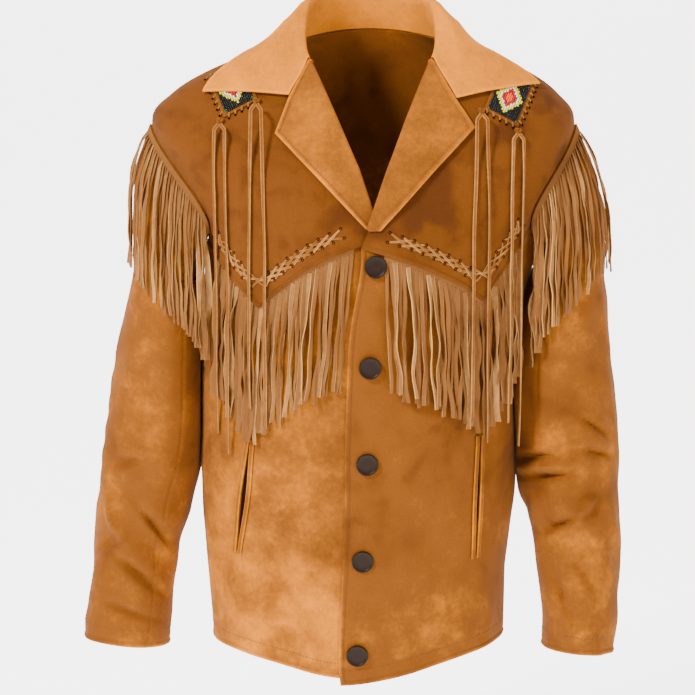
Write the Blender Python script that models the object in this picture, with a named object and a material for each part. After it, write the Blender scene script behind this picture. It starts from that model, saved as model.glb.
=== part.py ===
"""A fringed suede western jacket in the hollow shape of wear, held up at the shoulders.

Sizes are in millimetres, and a mesh gets them in metres. +X is the wearer's left, -Y is the
front and +Z is up. The origin is at the neck, midway between the two shoulder seams.
An angle goes round the body from 0 at the front to 180 degrees at the back, by the wearer's
left. A height is a position in the table of body rings, from 0 below the hem to 11 at the neck.
"""

import math
import random
from collections import namedtuple

import bmesh
import bpy
import numpy as np
from mathutils import Vector
from mathutils.bvhtree import BVHTree

MM = 0.001
LEFT, RIGHT = 1, -1
SIDE_NAME = {LEFT: "left", RIGHT: "right"}

# Thicknesses and gaps
SUEDE = 1.8
FACED_SUEDE = 2.2
FRINGE_SUEDE = 1.2
LACE_THICK = 1.1
SEAM_GAP = 0.36
LAYER_GAP = 0.45
YOKE_GAP = 1.3

# The body form, as level or sloping rings from below the hem up to the neck
Ring = namedtuple("Ring", "half_width front back z_front z_side z_back centre")
RINGS = [
    Ring(174, 119, 114, -748, -748, -748, -10),
    Ring(177, 122, 112, -640, -640, -640, -12),
    Ring(186, 126, 108, -520, -520, -520, -11),
    Ring(184, 129, 111, -410, -410, -410, -12),
    Ring(184, 131, 119, -325, -325, -325, -8),
    Ring(194, 130, 126, -245, -245, -240, 4),
    Ring(216, 126, 128, -205, -170, -192, 0),
    Ring(244, 117, 122, -170, -94, -142, -5),
    Ring(222, 104, 113, -140, -60, -98, -3),
    Ring(184, 91, 101, -115, -35, -58, 0),
    Ring(132, 78, 87, -96, -14, -20, 2),
    Ring(84, 66, 72, -80, 0, 12, 3),
]
NECK = len(RINGS) - 1.0
SHOULDER_TIP = 7.0
UNDERARM = 5.05

# The hem, level round the body with a dip at the front edges
HEM_LEVEL = -707
HEM_DIP = 20
LEFT_CORNER_DROP = 8

# The armhole, an oval round the side of the body
ARMHOLE_SPREAD = {"front": math.radians(30), "back": math.radians(29)}
ARMHOLE_STEPS = 20
YOKE_STEP = {LEFT: 7, RIGHT: 8, "back": 7}

# Front edges, as x and z seen from the front, from the hem to the break of the lapel
Spot = namedtuple("Spot", "x z")
BREAK = {LEFT: Spot(0, -206), RIGHT: Spot(10, -205)}
FRONT_EDGE = {
    LEFT: [
        Spot(-31, -735), Spot(-33, -699), Spot(-28, -584),
        Spot(-26, -470), Spot(-24, -390), Spot(-19, -310),
    ],
    RIGHT: [
        Spot(10, -735), Spot(12, -699), Spot(18, -584),
        Spot(22, -470), Spot(25, -390), Spot(28, -310),
    ],
}
FRONT_EDGE_TOP = {LEFT: Spot(-8, -226), RIGHT: Spot(26, -222)}
ROLL_LINE = {LEFT: [Spot(45, -90), Spot(62, -50)], RIGHT: [Spot(-14, -140), Spot(-56, -48)]}
GORGE_ANGLE = math.radians(57)
ROLL_STEPS = 10

# The pointed lower edge of each front yoke, from the front edge out to the armhole
YOKE_LINE = {
    LEFT: [
        Spot(37, -239), Spot(73, -254), Spot(109, -273),
        Spot(127, -289), Spot(150, -256), Spot(171, -226),
    ],
    RIGHT: [
        Spot(-10, -224), Spot(-45, -238), Spot(-76, -256), Spot(-103, -277),
        Spot(-125, -296), Spot(-150, -268), Spot(-172, -240),
    ],
}
BACK_YOKE_LINE = [Spot(0, -335), Spot(45, -300), Spot(90, -268), Spot(140, -242)]
YOKE_TUCK = 12
YOKE_LIFT = LAYER_GAP + FRINGE_SUEDE + YOKE_GAP + SUEDE
YOKE_LIFT_FADE = 0.45
YOKE_END_FADE = 0.12
YOKE_OPEN_FADE = {LEFT: 0.08, RIGHT: 0.18}
TUCK_STARTS = {LEFT: (0, 1), RIGHT: (0, 1)}

# The left front laps over the right one
LAP_LIFT_LOW, LAP_LIFT_TOP = 2.5, 6.9
LAP_FULL_X, LAP_END_X = 34, 84

# Lapels and collar
LAPEL_POINT = {LEFT: Spot(119, -97), RIGHT: Spot(-104, -103)}
GORGE_END = {LEFT: Spot(99, -66), RIGHT: Spot(-89, -63)}
COLLAR_POINT = {LEFT: Spot(194, -52), RIGHT: Spot(-186, -60)}
LAPEL_LIFT_FOOT, LAPEL_LIFT = 3.4, 5.6
COLLAR_LIFT = 3.7
COLLAR_STAND, COLLAR_STAND_END = 45, 1.5
COLLAR_LEAN = 9
COLLAR_FOLD, COLLAR_SEAM = 3.6, 1.4
COLLAR_SHOULDER_HEIGHT, COLLAR_BACK_HEIGHT = 9.95, 9.8
COLLAR_DRAPE = 1.6

# Sleeves, ring by ring down the arm
Cuff = namedtuple("Cuff", "x y z half_width half_depth")
SLEEVE = {
    LEFT: [
        Cuff(240, 4, -268, 38, 66), Cuff(234, 8, -363, 55, 66), Cuff(239, 6, -447, 60, 65),
        Cuff(245, -2, -526, 56, 61), Cuff(251, -12, -592, 51, 57), Cuff(255, -22, -671, 45.5, 52),
        Cuff(253, -28, -719, 43.5, 49),
    ],
    RIGHT: [
        Cuff(-235, 4, -268, 39, 66), Cuff(-246, 8, -363, 49.5, 66), Cuff(-255, 6, -460, 56.5, 64),
        Cuff(-270, -4, -543, 52, 60), Cuff(-277, -14, -610, 51, 57), Cuff(-284, -23, -670, 51, 54),
        Cuff(-288, -28, -708, 51, 52),
    ],
}
SLEEVE_HEAD_ROWS = 4
SLEEVE_ARM_ROWS = 9
UNDER_SLEEVE_STEPS = (7, 13)

# Soft folds: across the arm at the elbow and beside the underarm, sized on the cloth
Fold = namedtuple("Fold", "side turn row slant length width depth")
SLEEVE_FOLDS = [
    Fold(LEFT, 150, 0.50, 0.55, 52, 13, -6.5),
    Fold(LEFT, 120, 0.40, 0.20, 46, 11, 4.5),
    Fold(LEFT, 60, 0.30, -0.35, 55, 14, -3.5),
    Fold(LEFT, 90, 0.66, -0.5, 40, 12, -4.0),
    Fold(RIGHT, 120, 0.62, 0.75, 60, 15, -6.0),
    Fold(RIGHT, 60, 0.48, -0.30, 50, 13, -4.0),
    Fold(RIGHT, 100, 0.38, 0.30, 45, 12, 3.5),
    Fold(LEFT, 250, 0.48, 0.40, 50, 14, -5.0),
    Fold(RIGHT, 250, 0.50, 0.40, 50, 14, -5.0),
]

# Fringe
STRAND_PITCH = 6.5
STRAND_SHARE = 0.70
STRAND_LENGTH = {"yoke": 150, "back": 160, "sleeve": 152}
BACKING_TUCK, BACKING_SHOW, BACKING_SEAM = 6.0, 1.6, 2.4
SLEEVE_FRINGE_TURNS = (82, -72)
FRINGE_BACK_END = 166
FRINGE_ENDS = {LEFT: (21, 168), RIGHT: (-21, -170)}
FRINGE_FEET = {LEFT: (25, 171), RIGHT: (-33, -171)}
STRAND_LAYERS = {"yoke": (2.1, 4.3), "back": (2.1, 4.3), "sleeve": (5.0, 7.6)}
STRAND_SHARES = {"yoke": (0.5, 1.0), "back": (0.5, 1.0), "sleeve": (0.1, 0.35, 0.65, 1.0)}

# Buttons, on the line down the middle of the lap
BUTTON_SPOTS = [Spot(8, -245), Spot(2, -359), Spot(-1, -470), Spot(-6, -584), Spot(-12, -697)]
BUTTON_RADIUS, BUTTON_THICK, BUTTON_RIM = 12.5, 4.2, 2.2
BUTTON_SIDES, BUTTON_LIFT = 16, (1.5, 0.8)

# Slanting welt pockets
POCKET_TOP = {LEFT: Spot(129, -447), RIGHT: Spot(-134, -449)}
POCKET_FOOT = {LEFT: Spot(124, -592), RIGHT: Spot(-148, -584)}
LIP_WIDTH = 6.0
POCKET_GAPE = {LEFT: 1.0, RIGHT: 2.6}

# Beaded shoulder patches, seen from the front: foot, inner corner, top, outer corner
PATCH_OUTLINE = [Spot(168, -96), Spot(130, -76), Spot(148, -37), Spot(190, -50)]
PATCH_LIFT = 0.9
KNOT_SPOTS = [Spot(168, -101), Spot(127, -79)]
KNOT_RADIUS, KNOT_RISE = 4.2, 2.9
THONG_START, THONG_TOP_SHARE = 4.05, 0.45
THONG_LENGTHS = {LEFT: [(330, 362), (340, 372)], RIGHT: [(345, 366), (330, 352)]}
THONG_WIDTH, THONG_THICK, THONG_REST, THONG_STEPS = 4.2, 1.8, 1.6, 12

# Lacing through punched holes, above each yoke's edge
LACING_RISE = 22
LACING_STARTS = {LEFT: 27, RIGHT: 52}
LACING_HALF_BAND = 6.0
LACING_PITCH = 12.5
LACE_WIDTH = 3.0
LACING_GAP = 1.15
LACING_END = 14

COLOURS = {
    "suede": ((0.42, 0.17, 0.045, 1), 0.92, 0.0),
    "suede_fringe": ((0.47, 0.22, 0.075, 1), 0.92, 0.0),
    "lace": ((0.50, 0.24, 0.085, 1), 0.9, 0.0),
    "button": ((0.035, 0.018, 0.012, 1), 0.35, 0.0),
    "patch_suede": ((0.30, 0.14, 0.05, 1), 0.9, 0.0),
}


def clamp(value, low=0.0, high=1.0):
    return min(max(value, low), high)


def ease(value):
    """0 to 1, leaving and arriving level."""
    value = clamp(value)
    return value * value * (3 - 2 * value)


def row_at(rows, position):
    """The row of a table at a fractional position, on a smooth curve through its rows."""
    last = len(rows) - 1
    start = int(clamp(position, 0, last - 1e-9))
    part = clamp(position, 0, last) - start
    near = [np.array(rows[int(clamp(start + k, 0, last))], float) for k in (-1, 0, 1, 2)]
    before, a, b, after = near
    return 0.5 * (
        2 * a
        + (b - before) * part
        + (2 * before - 5 * a + 4 * b - after) * part**2
        + (3 * a - before - 3 * b + after) * part**3
    )


def body(place):
    """The point of the body form at (angle, height)."""
    ring = Ring(*row_at(RINGS, place[1]))
    across, along = math.sin(place[0]), math.cos(place[0])
    depth, end_z = (ring.front, ring.z_front) if along > 0 else (ring.back, ring.z_back)
    z = ring.z_side * across**2 + end_z * along**2
    return Vector((ring.centre + ring.half_width * across, -depth * along, z))


def body_normal(place):
    """The outward direction there."""
    angle, height = place
    round_it = body((angle + 0.01, height)) - body((angle - 0.01, height))
    low, high = max(height - 0.02, 0), min(height + 0.02, NECK)
    return round_it.cross(body((angle, high)) - body((angle, low))).normalized()


def skin(place, lift=0.0):
    """A point on the body form, or lifted off it."""
    return body(place) + body_normal(place) * lift


def seen_at(spot, front=True):
    """The place on the body form that is seen at x and z from the front, or from the back."""
    low, high = 0.0, NECK
    across = 0.0
    for _ in range(36):
        height = (low + high) / 2
        ring = Ring(*row_at(RINGS, height))
        across = clamp((spot[0] - ring.centre) / ring.half_width, -1, 1)
        end_z = ring.z_front if front else ring.z_back
        if ring.z_side * across**2 + end_z * (1 - across**2) < spot[1]:
            low = height
        else:
            high = height
    angle = math.asin(across)
    return (angle if front else math.pi - angle, height)


def armhole(turn, side):
    """The armhole's place at a turn in degrees: 0 shoulder tip, 90 front, 180 underarm, 270 back."""
    turn = math.radians(turn)
    middle, half = (SHOULDER_TIP + UNDERARM) / 2, (SHOULDER_TIP - UNDERARM) / 2
    spread = ARMHOLE_SPREAD["front" if math.sin(turn) > 0 else "back"]
    bow = math.copysign(abs(math.sin(turn)) ** 1.5, math.sin(turn))
    away = spread * bow * (0.84 - 0.5 * math.cos(turn))
    return (side * (math.pi / 2 - away), middle + half * math.cos(turn))


def armhole_steps(first, last, side):
    step = 360 / ARMHOLE_STEPS
    run = range(first, last + 1) if last > first else range(first, last - 1, -1)
    return [armhole(k * step, side) for k in run]


def spread(points, count, measure=lambda p: Vector((p[0], p[1], 0)), smooth=True):
    """count + 1 points, evenly spaced along the route through these points."""
    if smooth and len(points) > 2:
        fine = [tuple(row_at(points, k / 12)) for k in range(12 * (len(points) - 1) + 1)]
    else:
        fine = [
            tuple(np.array(a) + (np.array(b) - np.array(a)) * k / 12)
            for a, b in zip(points, points[1:])
            for k in range(12)
        ] + [tuple(points[-1])]
    solid = [measure(p) for p in fine]
    run = np.cumsum([0] + [(b - a).length for a, b in zip(solid, solid[1:])])
    wanted = np.linspace(0, run[-1], count + 1)
    return [tuple(np.interp(w, run, [p[k] for p in fine]) for k in (0, 1)) for w in wanted]


def patch(bottom, top, inner, outer):
    """Rows of flat points filling the space between four edges, each a list of points (a Coons patch)."""
    edges = (bottom, top, inner, outer)
    bottom, top, inner, outer = (np.array([tuple(p)[:2] for p in e], float) for e in edges)
    columns, rows = len(bottom) - 1, len(inner) - 1
    made = []
    for j in range(rows + 1):
        r = j / rows
        row = []
        for i in range(columns + 1):
            s = i / columns
            ruled = (1 - r) * bottom[i] + r * top[i] + (1 - s) * inner[j] + s * outer[j]
            corners = (1 - r) * ((1 - s) * bottom[0] + s * bottom[-1]) + r * ((1 - s) * top[0] + s * top[-1])
            row.append(tuple(ruled - corners))
        made.append(row)
    return made


def fill(bottom, top, inner, outer):
    """Rows of places between four edges on the body, with heights and angles that always advance."""
    edges = (bottom, top, inner, outer)
    bottom, top, inner, outer = (np.array([tuple(p)[:2] for p in e], float) for e in edges)

    def shares(edge, k):
        return (edge[:, k] - edge[0, k]) / (edge[-1, k] - edge[0, k])

    low, high, near, far = shares(bottom, 0), shares(top, 0), shares(inner, 1), shares(outer, 1)
    made = []
    for j in range(len(inner)):
        row = []
        for i in range(len(bottom)):
            across = i / (len(bottom) - 1)
            rise = near[j] + (far[j] - near[j]) * across
            along = low[i] + (high[i] - low[i]) * rise
            angle = inner[j, 0] + (outer[j, 0] - inner[j, 0]) * along
            row.append((angle, bottom[i, 1] + (top[i, 1] - bottom[i, 1]) * rise))
        made.append(row)
    return made


def grid_normals(grid):
    """Unit directions at a grid's points, by its rows and columns."""
    rows, columns = len(grid), len(grid[0])
    found = []
    for j in range(rows):
        row = []
        for i in range(columns):
            along = grid[j][min(i + 1, columns - 1)] - grid[j][max(i - 1, 0)]
            up = grid[min(j + 1, rows - 1)][i] - grid[max(j - 1, 0)][i]
            row.append(along.cross(up).normalized())
        found.append(row)
    return found


def moved_out(grid, distance):
    return [
        [point + normal * distance for point, normal in zip(row, normals)]
        for row, normals in zip(grid, grid_normals(grid))
    ]


def drawn_in(grid, gap, edges="lrbt"):
    """The grid with its edges drawn in by half a seam gap: l and r are columns, b and t rows."""
    grid = [[point.copy() for point in row] for row in grid]
    for letter, first, second in (("l", 0, 1), ("r", -1, -2)):
        if letter in edges:
            for row in grid:
                row[first] += (row[second] - row[first]).normalized() * gap / 2
    for letter, first, second in (("b", 0, 1), ("t", -1, -2)):
        if letter in edges:
            grid[first] = [a + (b - a).normalized() * gap / 2 for a, b in zip(grid[first], grid[second])]
    return grid


def material(name):
    found = bpy.data.materials.get(name)
    if found:
        return found
    made = bpy.data.materials.new(name)
    made.use_nodes = True
    shader = made.node_tree.nodes["Principled BSDF"]
    colour, roughness, metallic = COLOURS[name]
    shader.inputs["Base Color"].default_value = colour
    shader.inputs["Roughness"].default_value = roughness
    shader.inputs["Metallic"].default_value = metallic
    made.diffuse_color = colour
    return made


def add_solid(name, points, faces, finish):
    """One closed solid as an object, its faces turned to point outwards."""
    mesh = bpy.data.meshes.new(name)
    mesh.from_pydata([p * MM for p in points], [], faces)
    shape = bmesh.new()
    shape.from_mesh(mesh)
    bmesh.ops.recalc_face_normals(shape, faces=shape.faces)
    if shape.calc_volume(signed=True) < 0:
        bmesh.ops.reverse_faces(shape, faces=shape.faces)
    shape.to_mesh(mesh)
    shape.free()
    mesh.shade_smooth()
    mesh.set_sharp_from_angle(angle=math.radians(50))
    mesh.materials.append(material(finish))
    made = bpy.data.objects.new(name, mesh)
    bpy.context.scene.collection.objects.link(made)
    return made


def wall(outer, inner):
    """Points and faces of the closed wall between two grids of the same size."""
    rows, columns = len(outer), len(outer[0])
    points = [p for grid in (outer, inner) for row in grid for p in row]
    back = rows * columns

    def at(j, i, layer=0):
        return layer * back + j * columns + i

    faces = []
    for j in range(rows - 1):
        for i in range(columns - 1):
            square = [(j, i), (j, i + 1), (j + 1, i + 1), (j + 1, i)]
            spans = [(points[at(*square[k])] - points[at(*square[k + 2])]).length for k in (0, 1)]
            if spans[1] < spans[0]:
                square = square[1:] + square[:1]
            for three in ((0, 1, 2), (0, 2, 3)):
                faces.append([at(*square[k]) for k in three])
                faces.append([at(*square[k], 1) for k in reversed(three)])
    rim = [(0, i) for i in range(columns)] + [(j, columns - 1) for j in range(1, rows)]
    rim += [(rows - 1, i) for i in range(columns - 2, -1, -1)] + [(j, 0) for j in range(rows - 2, 0, -1)]
    for a, b in zip(rim, rim[1:] + rim[:1]):
        faces.append([at(*a), at(*a, 1), at(*b, 1), at(*b)])
    return points, faces


def lap_lift(point):
    """How far the left front stands off the body form where it laps over the right one."""
    height = LAP_LIFT_LOW + (LAP_LIFT_TOP - LAP_LIFT_LOW) * ease((point.z + 300) / 45)
    across = ease((LAP_END_X - point.x) / (LAP_END_X - LAP_FULL_X))
    return height * across * (1 - ease((point.z + 172) / 75))


def base_lift(point, side):
    return lap_lift(point) if side == LEFT and point.y < 0 else 0.0


def panel(places, lift, thickness=SUEDE):
    """A cloth wall on the body form.

    lift gives its outer face's height, by point and by shares of row and column.
    """
    rows = len(places) - 1
    outer, inner = [], []
    for j, row in enumerate(places):
        outer.append([])
        inner.append([])
        for i, place in enumerate(row):
            point, normal = body(place), body_normal(place)
            up = lift(point, j / rows, i / (len(row) - 1))
            outer[-1].append(point + normal * up)
            inner[-1].append(point + normal * (up - thickness))
    return drawn_in(outer, SEAM_GAP), drawn_in(inner, SEAM_GAP)


def hem_place(angle, drop=0.0):
    """The hem at this angle."""
    dip = HEM_DIP * max(math.cos(angle), 0) ** 6
    low, high = 0.0, 2.0
    for _ in range(30):
        height = (low + high) / 2
        if body((angle, height)).z < HEM_LEVEL - dip - drop:
            low = height
        else:
            high = height
    return (angle, height)


def side_seam(side, count=9):
    foot = hem_place(side * math.pi / 2)[1]
    return [(side * math.pi / 2, h) for h in np.linspace(foot, UNDERARM, count + 1)]


def shoulder_seam(side, count=5):
    return [(side * math.pi / 2, h) for h in np.linspace(SHOULDER_TIP, NECK, count + 1)][1:]


def tucked(spots, reach, ends):
    """These spots raised by the tuck, but for the ones at these ends, where cloth meets cloth."""
    ends = [k % len(spots) for k in ends]
    return [Spot(s.x, s.z + (0 if k in ends else reach)) for k, s in enumerate(spots)]


def yoke_edge(side, count, raised=0.0):
    """Places along a front yoke's lower edge, or this far above it away from the armhole."""
    spots = tucked([FRONT_EDGE_TOP[side], *YOKE_LINE[side]], raised, (*TUCK_STARTS[side], -1))
    places = [seen_at(s) for s in spots] + [armhole(YOKE_STEP[side] * 360 / ARMHOLE_STEPS, side)]
    return spread(places, count, measure=body, smooth=False)


def back_yoke_edge(count, raised=0.0):
    """Places along the back yoke's lower edge, from the wearer's left armhole to the right one."""
    half = [seen_at(s, front=False) for s in tucked(BACK_YOKE_LINE, raised, (-1,))]
    left = [armhole(-YOKE_STEP["back"] * 360 / ARMHOLE_STEPS, LEFT)] + half[::-1]
    right = [(2 * math.pi - a, h) for a, h in left[-2::-1]]
    return spread(left + right, count, measure=body, smooth=False)


def front_inner_edge(side):
    """Places up the front edge, from the hem to the yoke's edge."""
    places = [seen_at(s) for s in FRONT_EDGE[side]] + [seen_at(FRONT_EDGE_TOP[side])]
    drop = LEFT_CORNER_DROP if side == LEFT else 0.0
    places[0] = hem_place(places[0][0], drop)
    return places


def roll_spots(side):
    """The roll line, seen from the front, from the break to the neck."""
    end = flat(body((side * GORGE_ANGLE, NECK)))
    return spread([BREAK[side], *ROLL_LINE[side], end], ROLL_STEPS, smooth=False)


def make_front(side, columns=10):
    armhole_part = armhole_steps(ARMHOLE_STEPS // 2, YOKE_STEP[side], side)
    outer = side_seam(side) + armhole_part[1:]
    inner = spread(front_inner_edge(side), len(outer) - 1, measure=body)
    top = yoke_edge(side, columns, YOKE_TUCK)
    angles = np.linspace(inner[0][0], side * math.pi / 2, columns + 1)
    drop = LEFT_CORNER_DROP if side == LEFT else 0.0
    bottom = [hem_place(a, drop * (1 - k / columns) ** 4) for k, a in enumerate(angles)]
    faces = panel(fill(bottom, top, inner, outer), lambda p, r, c: base_lift(p, side))
    add_solid(f"front_{SIDE_NAME[side]}", *wall(*faces), "suede")
    return faces[0]


def make_front_yoke(side, columns=12):
    outer = armhole_steps(YOKE_STEP[side], 0, side) + shoulder_seam(side, 12 - YOKE_STEP[side])
    opening = [seen_at(s) for s in spread([FRONT_EDGE_TOP[side], BREAK[side]], 2)]
    inner = opening + [seen_at(s) for s in roll_spots(side)[1:-1]] + [(side * GORGE_ANGLE, NECK)]
    bottom = yoke_edge(side, columns)
    top = [(side * a, NECK) for a in np.linspace(GORGE_ANGLE, math.pi / 2, columns + 1)]

    def lift(point, row_share, column_share):
        ends = ease(column_share / YOKE_OPEN_FADE[side]) * ease((1 - column_share) / YOKE_END_FADE)
        return base_lift(point, side) + YOKE_LIFT * (1 - ease(row_share / YOKE_LIFT_FADE)) * ends

    faces = panel(fill(bottom, top, inner, outer), lift)
    add_solid(f"front_yoke_{SIDE_NAME[side]}", *wall(*faces), "suede")
    return faces[0]


def whole_turn(places):
    """Places on the wearer's right with their angle counted on past 180 degrees."""
    return [(a + 2 * math.pi if a < 0 else a, h) for a, h in places]


def make_back(columns=16):
    half, last = ARMHOLE_STEPS // 2, ARMHOLE_STEPS - YOKE_STEP["back"]
    left = side_seam(LEFT) + armhole_steps(half, last, LEFT)[1:]
    right = whole_turn(side_seam(RIGHT) + armhole_steps(half, last, RIGHT)[1:])
    bottom = [hem_place(a) for a in np.linspace(math.pi / 2, 1.5 * math.pi, columns + 1)]
    top = back_yoke_edge(columns, YOKE_TUCK)
    faces = panel(fill(bottom, top, left, right), lambda p, r, c: 0.0)
    add_solid("back", *wall(*faces), "suede")
    return faces[0]


def make_back_yoke(columns=20):
    first = ARMHOLE_STEPS - YOKE_STEP["back"]
    left = armhole_steps(first, ARMHOLE_STEPS, LEFT) + shoulder_seam(LEFT)
    right = armhole_steps(first, ARMHOLE_STEPS, RIGHT) + shoulder_seam(RIGHT)
    bottom = back_yoke_edge(columns)
    top = [(a, NECK) for a in np.linspace(math.pi / 2, 1.5 * math.pi, columns + 1)]

    def lift(point, row_share, column_share):
        ends = ease(min(column_share, 1 - column_share) / YOKE_END_FADE * 2)
        return YOKE_LIFT * (1 - ease(row_share / YOKE_LIFT_FADE)) * ends

    faces = panel(fill(bottom, top, left, whole_turn(right)), lift)
    add_solid("back_yoke", *wall(*faces), "suede")
    return faces[0]


def sleeve_ring(side, position):
    """Centre, outward and forward directions and sizes of the arm at a position in its table."""
    here = Cuff(*row_at(SLEEVE[side], position))
    before = Cuff(*row_at(SLEEVE[side], position - 0.25))
    after = Cuff(*row_at(SLEEVE[side], position + 0.25))
    down = Vector((after.x - before.x, after.y - before.y, after.z - before.z)).normalized()
    outward = (Vector((side, 0, 0)) - down * down.x * side).normalized()
    forward = down.cross(outward) * side
    if forward.y > 0:
        forward.negate()
    return here, down, outward, forward


def arm_point(side, turn, position):
    here, _, outward, forward = sleeve_ring(side, position)
    turn = math.radians(turn)
    centre = Vector((here.x, here.y, here.z))
    return centre + outward * here.half_width * math.cos(turn) + forward * here.half_depth * math.sin(turn)


def head_point(side, turn, share):
    """The sleeve head, from the armhole seam at share 0 to the first arm ring at 1."""
    place = armhole(turn, side)
    start, end = body(place), arm_point(side, turn, 0)
    radians = math.radians(turn)
    top = max(math.cos(radians), 0)
    under = max(-math.cos(radians), 0)
    leave = Vector((side * (0.45 + 0.5 * under), -0.42 * math.sin(radians), -0.85 + 0.1 * top))
    reach = (end - start).length
    leave = leave.normalized() * reach * (1.0 + 0.25 * (1 - top))
    arrive = sleeve_ring(side, 0)[1] * reach * 0.9
    s = share
    return (
        start * (2 * s**3 - 3 * s**2 + 1)
        + leave * (s**3 - 2 * s**2 + s)
        + end * (-2 * s**3 + 3 * s**2)
        + arrive * (s**3 - s**2)
    )


def fold_depth(side, turn, position):
    """How far the folds push the cloth out or in at this spot of the arm."""
    here = Cuff(*row_at(SLEEVE[side], position))
    total = 0.0
    for fold in SLEEVE_FOLDS:
        if fold.side != side:
            continue
        round_it = math.radians((turn - fold.turn + 180) % 360 - 180) * here.half_depth
        along = (position / (len(SLEEVE[side]) - 1) - fold.row) * 440
        lengthwise = round_it * math.cos(fold.slant) + along * math.sin(fold.slant)
        crosswise = -round_it * math.sin(fold.slant) + along * math.cos(fold.slant)
        total += fold.depth * math.exp(-((lengthwise / fold.length) ** 2) - (crosswise / fold.width) ** 2)
    return total


def sleeve_rows(side, turns):
    """Rows of the sleeve's outer face, from the armhole down to the cuff."""
    rows = [[head_point(side, t, k / SLEEVE_HEAD_ROWS) for t in turns] for k in range(SLEEVE_HEAD_ROWS)]
    last = len(SLEEVE[side]) - 1
    for k in range(SLEEVE_ARM_ROWS + 1):
        position = last * k / SLEEVE_ARM_ROWS
        centre = Vector(row_at(SLEEVE[side], position)[:3])
        row = []
        for turn in turns:
            point = arm_point(side, turn, position)
            outwards = (point - centre).normalized()
            row.append(point + outwards * fold_depth(side, turn, position))
        rows.append(row)
    return rows


def make_sleeve(side):
    """The upper and the under sleeve, joined by a front and a back seam."""
    step = 360 / ARMHOLE_STEPS
    first, last = UNDER_SLEEVE_STEPS
    pieces = {"under": range(first, last + 1), "upper": range(last, ARMHOLE_STEPS + first + 1)}
    whole = sleeve_rows(side, [k * step for k in range(ARMHOLE_STEPS + 1)])
    whole_out = moved_out(whole, -side * SUEDE)
    for name, run in pieces.items():
        outer = [[row[k % ARMHOLE_STEPS] for k in run] for row in whole]
        inner = [[row[k % ARMHOLE_STEPS] for k in run] for row in whole_out]
        outer, inner = (drawn_in(g, SEAM_GAP, "lrb") for g in (outer, inner))
        add_solid(f"sleeve_{SIDE_NAME[side]}_{name}", *wall(outer, inner), "suede")
    return whole


def collar_places(columns, rows):
    """Places under the collar's fall, from the neck seam out to its free edge."""

    def front_edge(side):
        seam, notch = (side * (GORGE_ANGLE + 0.015), NECK), seen_at(GORGE_END[side])
        first = spread([seam, notch], 2, measure=body)
        second = spread([notch, seen_at(COLLAR_POINT[side])], rows - 2, measure=body)
        return whole_turn(first + second[1:])

    left, right = front_edge(LEFT), front_edge(RIGHT)
    quarter = math.pi / 2
    shoulder = [(quarter, COLLAR_SHOULDER_HEIGHT), (1.5 * quarter, COLLAR_SHOULDER_HEIGHT - 0.05)]
    back = [(2 * quarter, COLLAR_BACK_HEIGHT)]
    other = [(4 * quarter - a, h) for a, h in reversed(shoulder)]
    outer = spread([left[-1], *shoulder, *back, *other, right[-1]], columns, measure=body)
    seam = [(a, NECK) for a in np.linspace(left[0][0], right[0][0], columns + 1)]
    return fill(seam, outer, left, right)


def make_collar(columns=26, rows=6):
    """Stand and fall of one fold, with the free edge resting on the shoulders."""
    places = collar_places(columns, rows)
    up = Vector((0, 0, 1))
    grid = [[] for _ in range(rows + 4)]
    for i in range(columns + 1):
        grown = ease(min(i, columns - i) / columns / 0.16)
        seam, lifted = body(places[0][i]), skin(places[0][i], COLLAR_LIFT)
        inward = Vector((-seam.x, -seam.y, 0)).normalized()
        rise = COLLAR_STAND_END + (COLLAR_STAND - COLLAR_STAND_END) * grown
        crest = seam + (lifted - seam) * (1 - grown) + inward * COLLAR_LEAN * grown + up * rise
        fold = COLLAR_FOLD * (0.2 + 0.8 * grown)
        stand_top = crest + inward * fold * 1.6 - up * fold
        foot = seam + up * COLLAR_SEAM
        column = [foot, (foot + stand_top) / 2, stand_top, crest + inward * fold * 0.7]
        for j in range(1, rows + 1):
            lying = skin(places[j][i], COLLAR_LIFT)
            column.append(lying + (crest - lifted) * (1 - j / rows) ** COLLAR_DRAPE)
        for j, point in enumerate(column):
            grid[j].append(point)
    inner = moved_out(grid, -FACED_SUEDE)
    add_solid("collar", *wall(grid, inner), "suede")


def on_front(spot, lift):
    return skin(seen_at(spot), lift)


def seated(spot, tree, lift):
    """A point this far off the foremost cloth at x and z, and the outward direction there."""
    normal = body_normal(seen_at(spot))
    hit = tree.ray_cast(Vector((spot[0], -400, spot[1])), Vector((0, 1, 0)))[0]
    return (hit or on_front(spot, 0)) + normal * lift, normal


def lapel_lift(share):
    return LAPEL_LIFT_FOOT + (LAPEL_LIFT - LAPEL_LIFT_FOOT) * ease(share / 0.35)


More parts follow.
